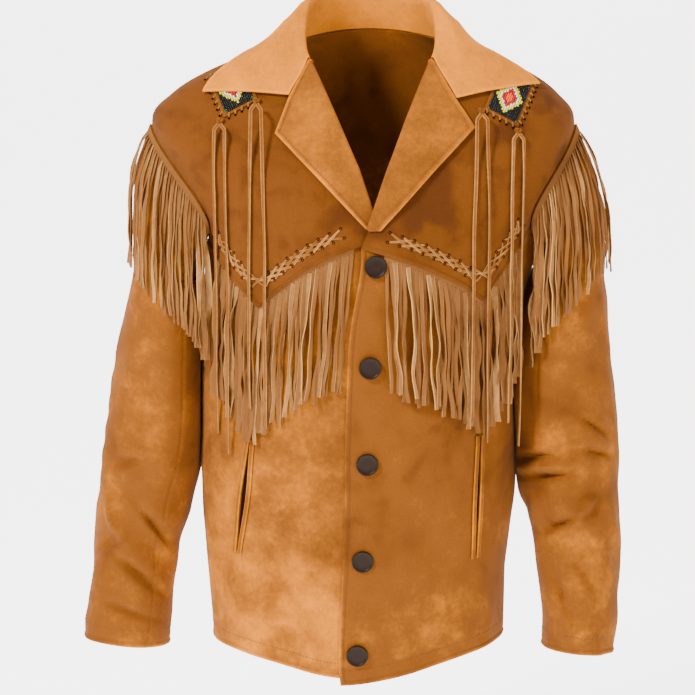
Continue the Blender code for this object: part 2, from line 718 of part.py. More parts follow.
def make_lapel(side, tree, yoke, rows=5):
    """The turned-back top of a front, rolled at the roll line and lying on the chest."""
    roll = roll_spots(side)
    columns = len(roll) - 1
    foot = Spot(BREAK[side].x + side * 13, BREAK[side].z + 1)
    lower = spread([foot, LAPEL_POINT[side]], columns)
    end = Spot(roll[-1][0] + side * 0.8, roll[-1][1] - 1.2)
    notch = Spot(GORGE_END[side].x, GORGE_END[side].z - 1.2)
    gorge = spread([end, notch, LAPEL_POINT[side]], rows, smooth=False)
    roll[-1], lower[-1] = gorge[0], gorge[-1]
    spots = patch(roll, lower, spread([roll[0], foot], rows), gorge)
    base = [row[0] for row in yoke[-len(roll) :]]
    grid = []
    for j, row in enumerate(spots):
        line = []
        for i, spot in enumerate(row):
            normal = body_normal(seen_at(spot))
            y = seated(spot, tree, 0)[0].y if j else base[i].y
            line.append(Vector((spot[0], y, spot[1])) + normal * lapel_lift(i / columns))
        grid.append(line)
    turn = []
    for k in range(4):
        angle = math.pi * (1 - k / 4)
        line = []
        for i, spot in enumerate(roll):
            high, low = lapel_lift(i / columns), -SUEDE
            middle, radius = (high + low) / 2, (high - low) / 2
            along = (base[min(i + 1, columns)] - base[max(i - 1, 0)]).normalized()
            normal = body_normal(seen_at(spot))
            away = along.cross(normal)
            away = away if away.x * side < 0 else -away
            bulge = away * (SEAM_GAP + radius * math.sin(angle))
            line.append(base[i] + normal * (middle + radius * math.cos(angle)) + bulge)
        turn.append(line)
    outer = turn + grid
    inner = moved_out(outer, side * FACED_SUEDE)
    normals = [body_normal(seen_at(s)) for s in roll]
    inner[0] = [point + normal * FACED_SUEDE * 0.9 for point, normal in zip(outer[0], normals)]
    add_solid(f"lapel_{SIDE_NAME[side]}", *wall(outer, inner), "suede")


def flat(point):
    return Spot(point.x, point.z)


def surface_tree(grids):
    """A search tree over grids whose faces point outwards."""
    points, faces = [], []
    for grid, flip in grids:
        start, columns = len(points), len(grid[0])
        points += [p for row in grid for p in row]
        for j in range(len(grid) - 1):
            for i in range(columns - 1):
                a = start + j * columns + i
                face = [a, a + 1, a + columns + 1, a + columns]
                faces.append(face[::-1] if flip else face)
    return BVHTree.FromPolygons([tuple(p) for p in points], faces)


def hang(start, out, length, trees, lift, shares, lean=0.0):
    """Points down a strand that hangs from start and stays this far outside the cloth below it."""
    fine = 20
    stops = [round(share * fine) for share in shares]
    points, point = [start.copy()], start.copy()
    outwards = Vector((out.x, out.y, 0)).normalized()
    for k in range(1, fine + 1):
        point = point + Vector((lean, 0, -1)).normalized() * (length / fine)
        wanted = lift * min(1.0, 0.6 + k / fine * 3)
        for _ in range(3):
            for tree in trees:
                near, normal, _, _ = tree.find_nearest(point)
                off = (point - near).dot(normal)
                if off < wanted and (point - near).length < 60:
                    point = point + outwards * (wanted - off) / max(normal.dot(outwards), 0.4)
        if k in stops:
            points.append(point.copy())
    return points


def make_fringe(name, cells, trees, kind, seed):
    """A comb: a narrow backing, and from every second cell of it a strand that hangs free.

    cells are the strand's two sides at the backing, each (top, foot, outward direction), and its drift.
    """
    chance = random.Random(seed)
    points, faces = [], []
    half = FRINGE_SUEDE / 2

    def ring(a, b):
        """Four new points: the outer and inner corners on two sides."""
        points.extend([a[0] + a[1] * half, a[0] - a[1] * half, b[0] - b[1] * half, b[0] + b[1] * half])
        return len(points) - 4

    sides = [side for cell, _ in cells for side in cell]
    stations = []
    for top, foot, out in sides:
        stations.append(len(points))
        points.extend([top + out * half, top - out * half, foot - out * half, foot + out * half])
    for k, (a, b) in enumerate(zip(stations, stations[1:])):
        faces.append([a, b, b + 1, a + 1])
        faces.append([a + 1, b + 1, b + 2, a + 2])
        faces.append([a + 3, b + 3, b, a])
        if k % 2:
            faces.append([a + 2, b + 2, b + 3, a + 3])
    faces.append([stations[0] + j for j in (3, 2, 1, 0)])
    faces.append([stations[-1] + j for j in (0, 1, 2, 3)])
    for k, (((_, left, out), (_, right, _)), lean) in enumerate(cells):
        middle, across = (left + right) / 2, right - left
        level = Vector((across.x, across.y, 0))
        width = level.length
        own = STRAND_LENGTH[kind] * (1 + 0.05 * (chance.random() - 0.5))
        lean += 0.012 * (chance.random() - 0.5)
        line = hang(middle, out, own, trees, STRAND_LAYERS[kind][k % 2], STRAND_SHARES[kind], lean)
        before = [stations[2 * k] + 3, stations[2 * k] + 2, stations[2 * k + 1] + 2, stations[2 * k + 1] + 3]
        for n, centre in enumerate(line[1:]):
            shift = level.normalized() * width / 2
            flat_out = shift.cross(Vector((0, 0, 1))).normalized()
            flat_out = flat_out if flat_out.dot(out) > 0 else -flat_out
            start = ring((centre - shift, flat_out), (centre + shift, flat_out))
            now = [start, start + 1, start + 2, start + 3]
            faces += [[before[0], before[1], now[1], now[0]], [before[2], before[3], now[3], now[2]]]
            faces += [[before[1], before[2], now[2]], [before[1], now[2], now[1]]]
            faces += [[before[3], before[0], now[3]], [before[0], now[0], now[3]]]
            before = now
        faces.append(before)
    add_solid(name, points, faces, "suede_fringe")
    return BVHTree.FromPolygons([tuple(p) for p in points], faces)


def line_cells(count):
    """For each of count strands, the shares of the line where it starts and ends."""
    edge = (1 - STRAND_SHARE) / 2
    return [((k + edge) / count, (k + 1 - edge) / count) for k in range(count)]


def yoke_fringe_cells(side):
    """Cells of a front yoke's fringe, spaced evenly across the chest, with where each strand drifts."""
    first, last = FRINGE_ENDS[side]
    order = sorted((body(p) for p in yoke_edge(side, 60)), key=lambda p: p.x)
    count = round(abs(last - first) / STRAND_PITCH)
    cells = []
    for k, shares in enumerate(line_cells(count)):
        sides = [fringe_side(first + (last - first) * share, order, side) for share in shares]
        foot = np.interp((k + 0.5) / count, (0, 1), FRINGE_FEET[side])
        middle = (sides[0][1].x + sides[1][1].x) / 2
        cells.append((sides, (foot - middle) / STRAND_LENGTH["yoke"]))
    return cells


def fringe_side(x, edge, side=None):
    """One side of a strand at its backing, under a yoke's edge. side is None on the back."""
    z = float(np.interp(x, [p.x for p in edge], [p.z for p in edge]))
    front = side is not None
    place = seen_at(Spot(x, z), front)
    lift = LAYER_GAP + FRINGE_SUEDE / 2 + (base_lift(body(place), side) if front else 0)
    top = skin(seen_at(Spot(x, z + BACKING_TUCK), front), lift)
    foot = skin(seen_at(Spot(x, z - BACKING_SHOW), front), lift)
    return top, foot, body_normal(place)


def back_fringe_cells():
    order = sorted((body(p) for p in back_yoke_edge(120)), key=lambda p: p.x)
    reach = FRINGE_BACK_END
    cells = line_cells(round(2 * reach / STRAND_PITCH))
    return [([fringe_side(reach * (1 - 2 * share), order) for share in shares], 0.0) for shares in cells]


def on_sleeve(grid, turn, row):
    """A point on the sleeve's own faces, at a turn in degrees and a row of its grid."""
    column = (turn % 360) / 360 * ARMHOLE_STEPS
    i, j = int(column), int(row)
    upper = grid[j][i].lerp(grid[j][i + 1], column - i)
    lower = grid[j + 1][i].lerp(grid[j + 1][i + 1], column - i)
    return upper.lerp(lower, row - j)


def sleeve_fringe_cells(side, grid):
    """Cells round the sleeve head, just outside the armhole seam."""
    turns = np.linspace(*SLEEVE_FRINGE_TURNS, 121)
    level = [Vector((p.x, p.y, p.z * 0.1)) for p in (on_sleeve(grid, t, 0.2) for t in turns)]
    run = np.cumsum([0] + [(b - a).length for a, b in zip(level, level[1:])])
    cells = []
    for shares in line_cells(round(run[-1] / STRAND_PITCH)):
        sides = []
        for share in shares:
            turn = float(np.interp(share * run[-1], run, turns))
            start, ahead = on_sleeve(grid, turn, 0), on_sleeve(grid, turn, 0.9)
            beside = on_sleeve(grid, turn + 3, 0.3) - on_sleeve(grid, turn - 3, 0.3)
            down = (ahead - start).normalized()
            out = beside.cross(down).normalized() * side
            top = start + down * BACKING_SEAM + out * (LAYER_GAP + 0.5 + FRINGE_SUEDE / 2)
            sides.append((top, top + down * BACKING_TUCK, out))
        cells.append((sides, 0.0))
    return cells


def make_button(number, spot, tree):
    """A turned button with a raised rim, seated on the left front."""
    profile = [
        (0.0, 0.0), (BUTTON_RADIUS - 2.0, 0.0), (BUTTON_RADIUS, 1.4), (BUTTON_RADIUS, BUTTON_THICK - 0.8),
        (BUTTON_RADIUS - 0.9, BUTTON_THICK), (BUTTON_RADIUS - BUTTON_RIM, BUTTON_THICK),
        (BUTTON_RADIUS - BUTTON_RIM - 1.2, BUTTON_THICK - 1.1), (0.0, BUTTON_THICK - 1.4),
    ]
    seat, normal = seated(spot, tree, BUTTON_LIFT[min(number, 2) - 1])
    across = Vector((1, 0, 0)) - normal * normal.x
    across.normalize()
    upward = normal.cross(across)
    points = [seat + normal * profile[0][1]]
    faces = []
    rings = profile[1:-1]
    for radius, height in rings:
        for k in range(BUTTON_SIDES):
            turn = 2 * math.pi * k / BUTTON_SIDES
            round_it = across * math.cos(turn) + upward * math.sin(turn)
            points.append(seat + normal * height + round_it * radius)
    points.append(seat + normal * profile[-1][1])
    for k in range(BUTTON_SIDES):
        after = (k + 1) % BUTTON_SIDES
        faces.append([0, 1 + after, 1 + k])
        for j in range(len(rings) - 1):
            a, b = 1 + j * BUTTON_SIDES, 1 + (j + 1) * BUTTON_SIDES
            faces.append([a + k, a + after, b + after, b + k])
        last = 1 + (len(rings) - 1) * BUTTON_SIDES
        faces.append([last + k, last + after, len(points) - 1])
    add_solid(f"button_{number}", points, faces, "button")


def strip(centres, outs, width, thick):
    """A flat lace along these points, as a closed shape of four sides."""
    points, faces = [], []
    for k, (centre, out) in enumerate(zip(centres, outs)):
        ahead = centres[min(k + 1, len(centres) - 1)] - centres[max(k - 1, 0)]
        across = ahead.cross(out).normalized() * width / 2
        rise = out * thick / 2
        points += [centre - across + rise, centre - across - rise]
        points += [centre + across - rise, centre + across + rise]
    for k in range(len(centres) - 1):
        for c in range(4):
            d = (c + 1) % 4
            faces.append([4 * k + c, 4 * k + d, 4 * k + 4 + d, 4 * k + 4 + c])
    faces.append([3, 2, 1, 0])
    end = 4 * (len(centres) - 1)
    faces.append([end, end + 1, end + 2, end + 3])
    return points, faces


def make_pocket(side, tree):
    """Two narrow lips, either side of a slanting slit."""
    top, foot = POCKET_TOP[side], POCKET_FOOT[side]
    for lip, hand in (("outer", side), ("inner", -side)):
        centres, outs = [], []
        for k in range(9):
            share = k / 8
            gape = SEAM_GAP + POCKET_GAPE[side] * math.sin(math.pi * share) ** 2
            x = top.x + (foot.x - top.x) * share + hand * (LIP_WIDTH / 2 + gape / 2)
            z = top.z + (foot.z - top.z) * share
            point, normal = seated(Spot(x, z), tree, LAYER_GAP + 0.4 + SUEDE / 2)
            centres.append(point)
            outs.append(normal)
        add_solid(f"pocket_lip_{SIDE_NAME[side]}_{lip}", *strip(centres, outs, LIP_WIDTH, SUEDE), "suede")


def make_shoulder_patch(side, tree, count=4):
    """The kite of suede under the collar point that carries the beadwork."""
    foot, inner_corner, top, outer_corner = (Spot(s.x * side, s.z) for s in PATCH_OUTLINE)
    spots = patch(
        spread([foot, outer_corner], count), spread([inner_corner, top], count),
        spread([foot, inner_corner], count), spread([outer_corner, top], count),
    )
    outer = [[seated(s, tree, PATCH_LIFT + LACE_THICK)[0] for s in row] for row in spots]
    inner = [[seated(s, tree, PATCH_LIFT)[0] for s in row] for row in spots]
    add_solid(f"shoulder_patch_{SIDE_NAME[side]}", *wall(outer, inner), "patch_suede")


def knot_body(centre, out, radius):
    """A small knot as a rounded block."""
    side = Vector((1, 0, 0))
    up = out.cross(side).normalized()
    side = up.cross(out).normalized()
    points = []
    for height, size in ((-0.55, 0.7), (0.0, 1.0), (0.55, 0.7)):
        for k in range(6):
            turn = math.radians(60 * k)
            round_it = side * math.cos(turn) + up * math.sin(turn)
            points.append(centre + (out * height + round_it * size) * radius)
    faces = [[5, 4, 3, 2, 1, 0], [12 + k for k in range(6)]]
    for ring in (0, 6):
        for k in range(6):
            after = (k + 1) % 6
            faces.append([ring + k, ring + after, ring + 6 + after, ring + 6 + k])
    return points, faces


def front_of(x, z, trees):
    """How far forward the foremost cloth reaches in a small window round x and z."""
    found = [on_front(Spot(x, z), 0).y]
    for across in (-4, -2, 0, 2, 4):
        for along in (-3, -1, 1, 3):
            for tree in trees:
                hit = tree.ray_cast(Vector((x + across, -400, z + along)), Vector((0, 1, 0)))[0]
                if hit and hit.y < 0:
                    found.append(hit.y)
    return min(found)


def make_thongs(side, number, tree, trees):
    """A knot at a corner of the patch, with the two ends of a long lace hanging from it."""
    spot = Spot(KNOT_SPOTS[number].x * side, KNOT_SPOTS[number].z)
    name = f"{SIDE_NAME[side]}_{number + 1}"
    knot, normal = seated(spot, tree, KNOT_RISE)
    add_solid(f"knot_{name}", *knot_body(knot, normal, KNOT_RADIUS), "lace")
    for end, hand, length in zip("ab", (-1, 1), THONG_LENGTHS[side][number]):
        steps = THONG_STEPS * 6
        xs = [knot.x + hand * (2.5 + 3.2 * ease(k / steps * 2) * (number + 1)) for k in range(steps + 1)]
        zs = [knot.z - THONG_START - length * k / steps for k in range(steps + 1)]
        ys = [front_of(x, z, trees) - THONG_REST - THONG_THICK / 2 for x, z in zip(xs, zs)]
        ys = [min(ys[max(k - 6, 0) : k + 7]) for k in range(steps + 1)]
        line = [Vector((xs[k], ys[k], zs[k])) for k in range(0, steps + 1, 6)]
        line[0].y += (knot.y - line[0].y) * THONG_TOP_SHARE
        levels = [body_normal(seen_at(flat(point))) for point in line]
        outs = [Vector((level.x, level.y, 0)).normalized() for level in levels]
        add_solid(f"thong_{name}{end}", *strip(line, outs, THONG_WIDTH, THONG_THICK), "lace")


def make_lacing(side, tree):
    """Crossed laces over the yoke's edge, one zigzag lying over another."""
    layers = []
    for layer, phase in (("under", 0), ("over", 1)):
        edge = spread([flat(body(p)) for p in yoke_edge(side, 40)], 400, smooth=False)
        run = np.cumsum([0] + [math.dist(a, b) for a, b in zip(edge, edge[1:])])
        start = LACING_STARTS[side]
        length = run[-1] - start - LACING_END
        count = int(length / LACING_PITCH)
        centres, outs = [], []
        for k in range(count + 1):
            place = start + length * (k + 0.5) / (count + 1)
            x = float(np.interp(place, run, [s[0] for s in edge]))
            z = float(np.interp(place, run, [s[1] for s in edge])) + LACING_RISE
            hand = 1 if (k + phase) % 2 else -1
            height = LACING_GAP + LACE_THICK / 2 + phase * (LACE_THICK + LACING_GAP)
            point, normal = seated(Spot(x, z + hand * LACING_HALF_BAND), tree, height)
            centres.append(point)
            outs.append(normal)
        points, faces = strip(centres, outs, LACE_WIDTH, LACE_THICK)
        add_solid(f"yoke_lacing_{SIDE_NAME[side]}_{layer}", points, faces, "lace")
        layers.append(BVHTree.FromPolygons([tuple(p) for p in points], faces))
    return layers[1]


def clear_scene():
    for found in list(bpy.data.objects):
        bpy.data.objects.remove(found)


def main():
    clear_scene()
    torso, yokes, arms, over = [(make_back(), False)], [(make_back_yoke(), False)], {}, []
    tree = {}
    for side in (LEFT, RIGHT):
        front, yoke = (make_front(side), side == RIGHT), (make_front_yoke(side), side == RIGHT)
        torso.append(front)
        yokes.append(yoke)
        tree[side] = surface_tree([front, yoke])
        arms[side] = make_sleeve(side)
        make_lapel(side, tree[side], yoke[0])
        make_pocket(side, tree[side])
        make_shoulder_patch(side, tree[side])
        over.append(make_lacing(side, tree[side]))
    make_collar()
    trees = [surface_tree(torso), surface_tree([(arms[side], side == RIGHT) for side in arms])]
    make_fringe("fringe_back", back_fringe_cells(), trees, "back", 5)
    for side in (LEFT, RIGHT):
        name = SIDE_NAME[side]
        over.append(make_fringe(f"fringe_front_{name}", yoke_fringe_cells(side), trees, "yoke", 11 + side))
        cells = sleeve_fringe_cells(side, arms[side])
        over.append(make_fringe(f"fringe_sleeve_{name}", cells, trees, "sleeve", 21 + side))
    over += trees + [surface_tree(yokes)]
    for side in (LEFT, RIGHT):
        for number in (0, 1):
            make_thongs(side, number, tree[side], over)
    for number, spot in enumerate(BUTTON_SPOTS, 1):
        make_button(number, spot, tree[LEFT])


main()
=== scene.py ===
"""A fringed suede western jacket in the hollow shape of wear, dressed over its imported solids.

Sizes in the tables are in millimetres, and a mesh gets them in metres. +X is the wearer's left,
-Y the front and +Z up. An angle goes round the body from 0 at the front to 180 degrees at the
back, by the wearer's left. A height is a position in the table of body rings, 11 at the neck.
"""

import math
from collections import namedtuple

import bpy
import numpy as np
from bpy.props import FloatProperty, FloatVectorProperty, PointerProperty
from mathutils import Matrix, Vector
from mathutils.bvhtree import BVHTree


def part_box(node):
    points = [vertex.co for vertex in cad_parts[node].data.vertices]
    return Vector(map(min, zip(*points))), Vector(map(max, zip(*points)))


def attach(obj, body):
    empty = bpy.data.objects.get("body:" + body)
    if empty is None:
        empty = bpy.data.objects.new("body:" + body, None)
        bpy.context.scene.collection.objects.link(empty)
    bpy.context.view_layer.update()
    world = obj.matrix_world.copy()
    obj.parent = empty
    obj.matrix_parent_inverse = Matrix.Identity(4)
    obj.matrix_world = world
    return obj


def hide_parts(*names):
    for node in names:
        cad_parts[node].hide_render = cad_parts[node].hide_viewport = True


bl_info = {
    "name": "Fringed Suede Jacket",
    "version": (1, 0, 0),
    "blender": (4, 5, 0),
    "location": "View3D > Sidebar > Jacket",
    "description": "Dresses the jacket's solids in cut suede, fringe, lacing, beadwork and buttons",
    "category": "Object",
}

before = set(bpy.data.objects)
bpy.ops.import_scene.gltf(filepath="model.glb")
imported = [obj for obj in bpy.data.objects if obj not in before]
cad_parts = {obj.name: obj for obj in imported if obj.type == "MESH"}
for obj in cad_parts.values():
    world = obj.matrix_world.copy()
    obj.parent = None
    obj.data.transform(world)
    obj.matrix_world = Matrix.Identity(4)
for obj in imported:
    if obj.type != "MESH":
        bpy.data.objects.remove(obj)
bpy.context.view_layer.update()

MM = 0.001
LEFT, RIGHT = 1, -1
SIDE_NAME = {LEFT: "left", RIGHT: "right"}

# The body form, as level or sloping rings from below the hem up to the neck:
# half width, front depth, back depth, z at the front, side and back, and the middle's x
RINGS = [
    (174, 119, 114, -748, -748, -748, -10),
    (177, 122, 112, -640, -640, -640, -12),
    (186, 126, 108, -520, -520, -520, -11),
    (184, 129, 111, -410, -410, -410, -12),
    (184, 131, 119, -325, -325, -325, -8),
    (194, 130, 126, -245, -245, -240, 4),
    (216, 126, 128, -205, -170, -192, 0),
    (244, 117, 122, -170, -94, -142, -5),
    (222, 104, 113, -140, -60, -98, -3),
    (184, 91, 101, -115, -35, -58, 0),
    (132, 78, 87, -96, -14, -20, 2),
    (84, 66, 72, -80, 0, 12, 3),
]
NECK = len(RINGS) - 1.0
SHOULDER_TIP = 7.0
UNDERARM = 5.05
HEM_LEVEL = -707
HEM_DIP = 20
LEFT_CORNER_DROP = 8

# How finely each grid is cut: cells here for each cell of the solids
FINE = 6
FINE_SIDE = 13

ARMHOLE_SPREAD = {"front": math.radians(30), "back": math.radians(29)}
ARMHOLE_STEPS = 20
ARMHOLE_POWER, ARMHOLE_WIDTH, ARMHOLE_NARROWING = 1.5, 0.84, 0.5
YOKE_STEP = {LEFT: 7, RIGHT: 8, "back": 7}

# Front edges and rolls, as x and z seen from the front
BREAK = {LEFT: (0, -206), RIGHT: (10, -205)}
FRONT_EDGE = {
    LEFT: [(-31, -735), (-33, -699), (-28, -584), (-26, -470), (-24, -390), (-19, -310)],
    RIGHT: [(10, -735), (12, -699), (18, -584), (22, -470), (25, -390), (28, -310)],
}
FRONT_EDGE_TOP = {LEFT: (-8, -226), RIGHT: (26, -222)}
ROLL_LINE = {LEFT: [(45, -90), (62, -50)], RIGHT: [(-14, -140), (-56, -48)]}
GORGE_ANGLE = math.radians(57)
ROLL_STEPS = 10

# The pointed lower edge of each front yoke, and the back yoke's
YOKE_LINE = {
    LEFT: [(37, -239), (73, -254), (109, -273), (127, -289), (150, -256), (171, -226)],
    RIGHT: [(-10, -224), (-45, -238), (-76, -256), (-103, -277), (-125, -296), (-150, -268), (-172, -240)],
}
BACK_YOKE_LINE = [(0, -335), (45, -300), (90, -268), (140, -242)]
YOKE_TUCK = 12
YOKE_LIFT = 5.35
YOKE_LIFT_FADE = 0.45
YOKE_END_FADE = 0.12
YOKE_OPEN_FADE = {LEFT: 0.08, RIGHT: 0.18}
LAP_LIFT_LOW, LAP_LIFT_TOP = 2.5, 6.9
LAP_FULL_X, LAP_END_X = 34, 84
LAP_RISE, LAP_FALL = (-300, 45), (-172, 75)

# Lapels and collar
LAPEL_POINT = {LEFT: (119, -97), RIGHT: (-104, -103)}
GORGE_END = {LEFT: (99, -66), RIGHT: (-89, -63)}
COLLAR_POINT = {LEFT: (194, -52), RIGHT: (-186, -60)}
LAPEL_LIFT_FOOT, LAPEL_LIFT = 3.4, 5.6
COLLAR_LIFT = 3.7
COLLAR_STAND, COLLAR_STAND_END = 45, 1.5
COLLAR_LEAN = 9
COLLAR_FOLD, COLLAR_SEAM = 3.6, 1.4
COLLAR_SHOULDER_HEIGHT, COLLAR_BACK_HEIGHT = 9.95, 9.8
COLLAR_DRAPE = 1.6
COLLAR_BELLY = 0.03

# Sleeves, ring by ring down the arm: centre x, y, z, half width and half depth
SLEEVE = {
    LEFT: [
        (240, 4, -268, 38, 66), (234, 8, -363, 55, 66), (239, 6, -447, 60, 65),
        (245, -2, -526, 56, 61), (251, -12, -592, 51, 57), (255, -22, -671, 45.5, 52),
        (253, -28, -719, 43.5, 49),
    ],
    RIGHT: [
        (-235, 4, -268, 39, 66), (-246, 8, -363, 49.5, 66), (-255, 6, -460, 56.5, 64),
        (-270, -4, -543, 52, 60), (-277, -14, -610, 51, 57), (-284, -23, -670, 51, 54),
        (-288, -28, -708, 51, 52),
    ],
}
SLEEVE_HEAD_ROWS = 4
SLEEVE_ARM_ROWS = 9
UNDER_SLEEVE_STEPS = (7, 13)
SLEEVE_LENGTH = 440
INNER_SIDE, INNER_CALM = (0.2, 0.5), 0.6

# Soft folds of the sleeves, in the cloth: where, at what slant, how long, wide and deep
Fold = namedtuple("Fold", "side turn row slant length width depth")
SLEEVE_FOLDS = [
    Fold(LEFT, 150, 0.50, 0.55, 52, 13, -6.5),
    Fold(LEFT, 120, 0.40, 0.20, 46, 11, 4.5),
    Fold(LEFT, 60, 0.30, -0.35, 55, 14, -3.5),
    Fold(LEFT, 90, 0.66, -0.5, 40, 12, -4.0),
    Fold(RIGHT, 120, 0.62, 0.75, 60, 15, -6.0),
    Fold(RIGHT, 60, 0.48, -0.30, 50, 13, -4.0),
    Fold(RIGHT, 100, 0.38, 0.30, 45, 12, 3.5),
    Fold(LEFT, 250, 0.48, 0.40, 50, 14, -5.0),
    Fold(RIGHT, 250, 0.50, 0.40, 50, 14, -5.0),
]

# Sharper creases that only the cloth shows: the same columns
SLEEVE_CREASES = [
    Fold(LEFT, 128, 0.455, 0.05, 30, 4.0, -2.2),
    Fold(LEFT, 132, 0.405, 0.12, 34, 4.5, -2.4),
    Fold(LEFT, 118, 0.43, 0.08, 34, 5.0, 1.6),
    Fold(LEFT, 62, 0.34, -0.55, 26, 4.0, -2.0),
    Fold(LEFT, 60, 0.405, -0.25, 30, 5.0, -2.0),
    Fold(LEFT, 120, 0.60, 0.25, 26, 5.0, -2.2),
    Fold(LEFT, 90, 0.73, -0.8, 24, 6.0, -1.8),
    Fold(LEFT, 125, 0.78, -1.1, 30, 6.0, -1.6),
    Fold(LEFT, 80, 0.55, 0.9, 22, 5.0, 1.6),
    Fold(RIGHT, 118, 0.55, 0.70, 34, 5.0, -2.6),
    Fold(RIGHT, 100, 0.70, 0.55, 36, 5.5, -2.4),
    Fold(RIGHT, 60, 0.55, 0.9, 28, 7.0, 1.8),
    Fold(RIGHT, 70, 0.40, -0.35, 26, 5.0, -1.8),
    Fold(RIGHT, 52, 0.62, -0.6, 24, 6.0, -1.8),
    Fold(RIGHT, 90, 0.82, 0.3, 34, 6.0, -1.5),
    Fold(LEFT, 265, 0.44, 0.2, 34, 5.0, -2.4),
    Fold(LEFT, 240, 0.56, 0.6, 34, 6.0, -2.2),
    Fold(RIGHT, 265, 0.44, 0.2, 34, 5.0, -2.4),
    Fold(RIGHT, 240, 0.56, 0.6, 34, 6.0, -2.2),
]

# Drag lines of the body, seen from the front (+1) or back (-1): x, z, slant, length, width, depth
Drag = namedtuple("Drag", "face x z slant length width depth")
BODY_DRAGS = [
    Drag(1, -118, -560, 0.15, 46, 9, -1.6),
    Drag(1, -95, -628, -0.5, 60, 16, -2.2),
    Drag(1, -70, -520, 0.9, 60, 18, 1.8),
    Drag(1, -150, -655, 1.2, 60, 15, 2.0),
    Drag(1, 70, -560, -1.1, 70, 18, -2.2),
    Drag(1, 100, -650, 0.6, 60, 16, -2.0),
    Drag(1, 45, -480, 1.4, 90, 14, 1.8),
    Drag(1, -150, -330, 1.0, 70, 15, -2.2),
    Drag(1, 150, -345, -1.0, 70, 15, -2.2),
    Drag(1, 45, -655, 1.45, 70, 14, -1.6),
    Drag(-1, -60, -470, 1.2, 120, 26, -3.0),
    Drag(-1, 70, -520, -1.2, 120, 26, -3.0),
    Drag(-1, 0, -610, 1.5, 110, 24, 2.4),
    Drag(-1, 120, -400, -0.8, 70, 18, -2.2),
    Drag(-1, -120, -400, 0.8, 70, 18, -2.2),
]

# Fringe: roots, lengths, how far it hangs off the cloth
FRINGE_ENDS = {LEFT: (17, 172), RIGHT: (-16, -174)}
FRINGE_FEET = {LEFT: (25, 175), RIGHT: (-30, -175)}
STRAND_LENGTH = {"yoke": 152, "back": 162, "sleeve": 154}
HEADER_TUCK, HEADER_SHOW = 8.0, 4.6
SLEEVE_FRINGE_TURNS = (126, -76)
SLEEVE_FRINGE_SEAM = 2.4
FRINGE_BACK_END = 170
STRAND_LAYERS = {"yoke": (1.3, 2.8, 4.4), "back": (1.3, 2.8, 4.4), "sleeve": (3.2, 4.9, 6.6)}
STRAND_STEPS = 20
STRAND_FINE = 2  # steps taken for each one kept
ROOT_LIFT, LIFT_SPEED = 0.45, 3
NEAR_CLOTH, LEAST_FACING = 60, 0.4
STRAND_SHARE = {"yoke": 1.0, "back": 1.2, "sleeve": 0.72}  # of the strand pitch
# Width of the paler band along a strip's cut edges; on the fringe strands that paleness is a painted
# highlight
PALE_EDGE = 0.7

BUTTON_SPOTS = [(8, -245), (2, -359), (-1, -470), (-6, -584), (-12, -697)]
POCKET_TOP = {LEFT: (129, -447), RIGHT: (-134, -449)}
POCKET_FOOT = {LEFT: (125, -593), RIGHT: (-151, -586)}
LIP_WIDTH = 6.0
POCKET_GAPE = {LEFT: 1.6, RIGHT: 4.4}
PATCH_OUTLINE = [(168, -96), (130, -76), (148, -37), (190, -50)]
KNOT_SPOTS = [(168, -101), (127, -79)]
# The right patch and its knots sit higher than their solids, mostly under the collar
PATCH_SHIFT = {LEFT: (0, 0), RIGHT: (6, 10.5)}
KNOT_SHIFT = {LEFT: (0, 0), RIGHT: (2, 11)}
THONG_START = 4.3
THONG_LENGTHS = {LEFT: [(330, 362), (340, 372)], RIGHT: [(356, 377), (341, 363)]}
LACE_SLOPE = 0.22
LACING_RISE = 22
LACING_STARTS = {LEFT: 27, RIGHT: 52}
LACING_HALF_BAND = 5.4
LACING_PITCH = 15.0
LACING_END = 14
HEM_STITCH, CUFF_STITCH = 19, 21
STRAND_CUT = 0.97  # of each strand's room
LIP_LIFT, LIP_THICK, LIP_TONE = 1.65, 2.0, 0.05
LEAST_GAPE, SLIT_OVERLAP, SLIT_THICK = 0.36, 0.6, 0.5
BEAD_NAMES = ("black", "red", "yellow", "white", "green", "orange")

# The buttons' disc and the rings turned into its face, as inset and rise in metres
BUTTON_THICK = 0.0042
BUTTON_RINGS = ((0.0016, 0.0), (0.0012, -0.0012), (0.0035, -0.0004), (0.004, 0.00025))

# Suede's shading, and the heights of its nap and of a plain finish's grain in metres
SUEDE_SHEEN = {
    "Roughness": 0.95,
    "Specular IOR Level": 0.06,
    "Sheen Weight": 0.04,
    "Sheen Roughness": 0.55,
    "Sheen Tint": (1.0, 0.62, 0.34, 1.0),
}
NAP_HEIGHT, GRAIN_HEIGHT = 0.0012, 0.0005

# The studio, in metres: floor, glow of the paper and the world, lights and camera
FLOOR_Z = -1.05
PAPER_GLOW, SEEN_GLOW, WORLD_LIGHT = 3.0, 2.2, 0.6
LIGHTS = (
    ("key_light", (-2.0, -2.0, 1.8), 0.6, 255),
    ("fill_light", (1.9, -2.4, 0.3), 1.8, 45),
    ("top_light", (0.1, -0.2, 2.3), 1.6, 60),
)
LIGHT_TARGET = (0, 0, -0.35)
CAMERA_ANGLE = 20.24
CAMERA_SPOT = (-0.023165, -2.266577, 0.040539)
CAMERA_TARGET = (-0.023165, -0.1, -0.341487)

# How light each cloth is painted, partly its own shade of suede and partly painted light and shade: the
# fronts at the hem and below the yoke, then the others. The yokes are darkened partly as painted shade, the
# collar and lapels lightened partly as a painted highlight, the fringe's headers under the yoke's edge
# darkened as painted shade, and the patch made a little darker
FRONT_TONES = {LEFT: (-0.12, -0.25), RIGHT: (0.56, 0.0)}
FRONT_YOKE_TONE, BACK_TONE, BACK_YOKE_TONE, SLEEVE_TONE = -1.25, 0.05, -0.1, 0.0
COLLAR_TONE, LAPEL_TONE, PATCH_TONE, HEADER_SHADE = 1.0, 0.3, -0.4, -0.2

# How near and how far down the sleeves rest against the sides
ARM_GAP, ARM_LEAN, LEAN_END, LEAN_FADE = 1.2, 9.0, 0.62, 0.12

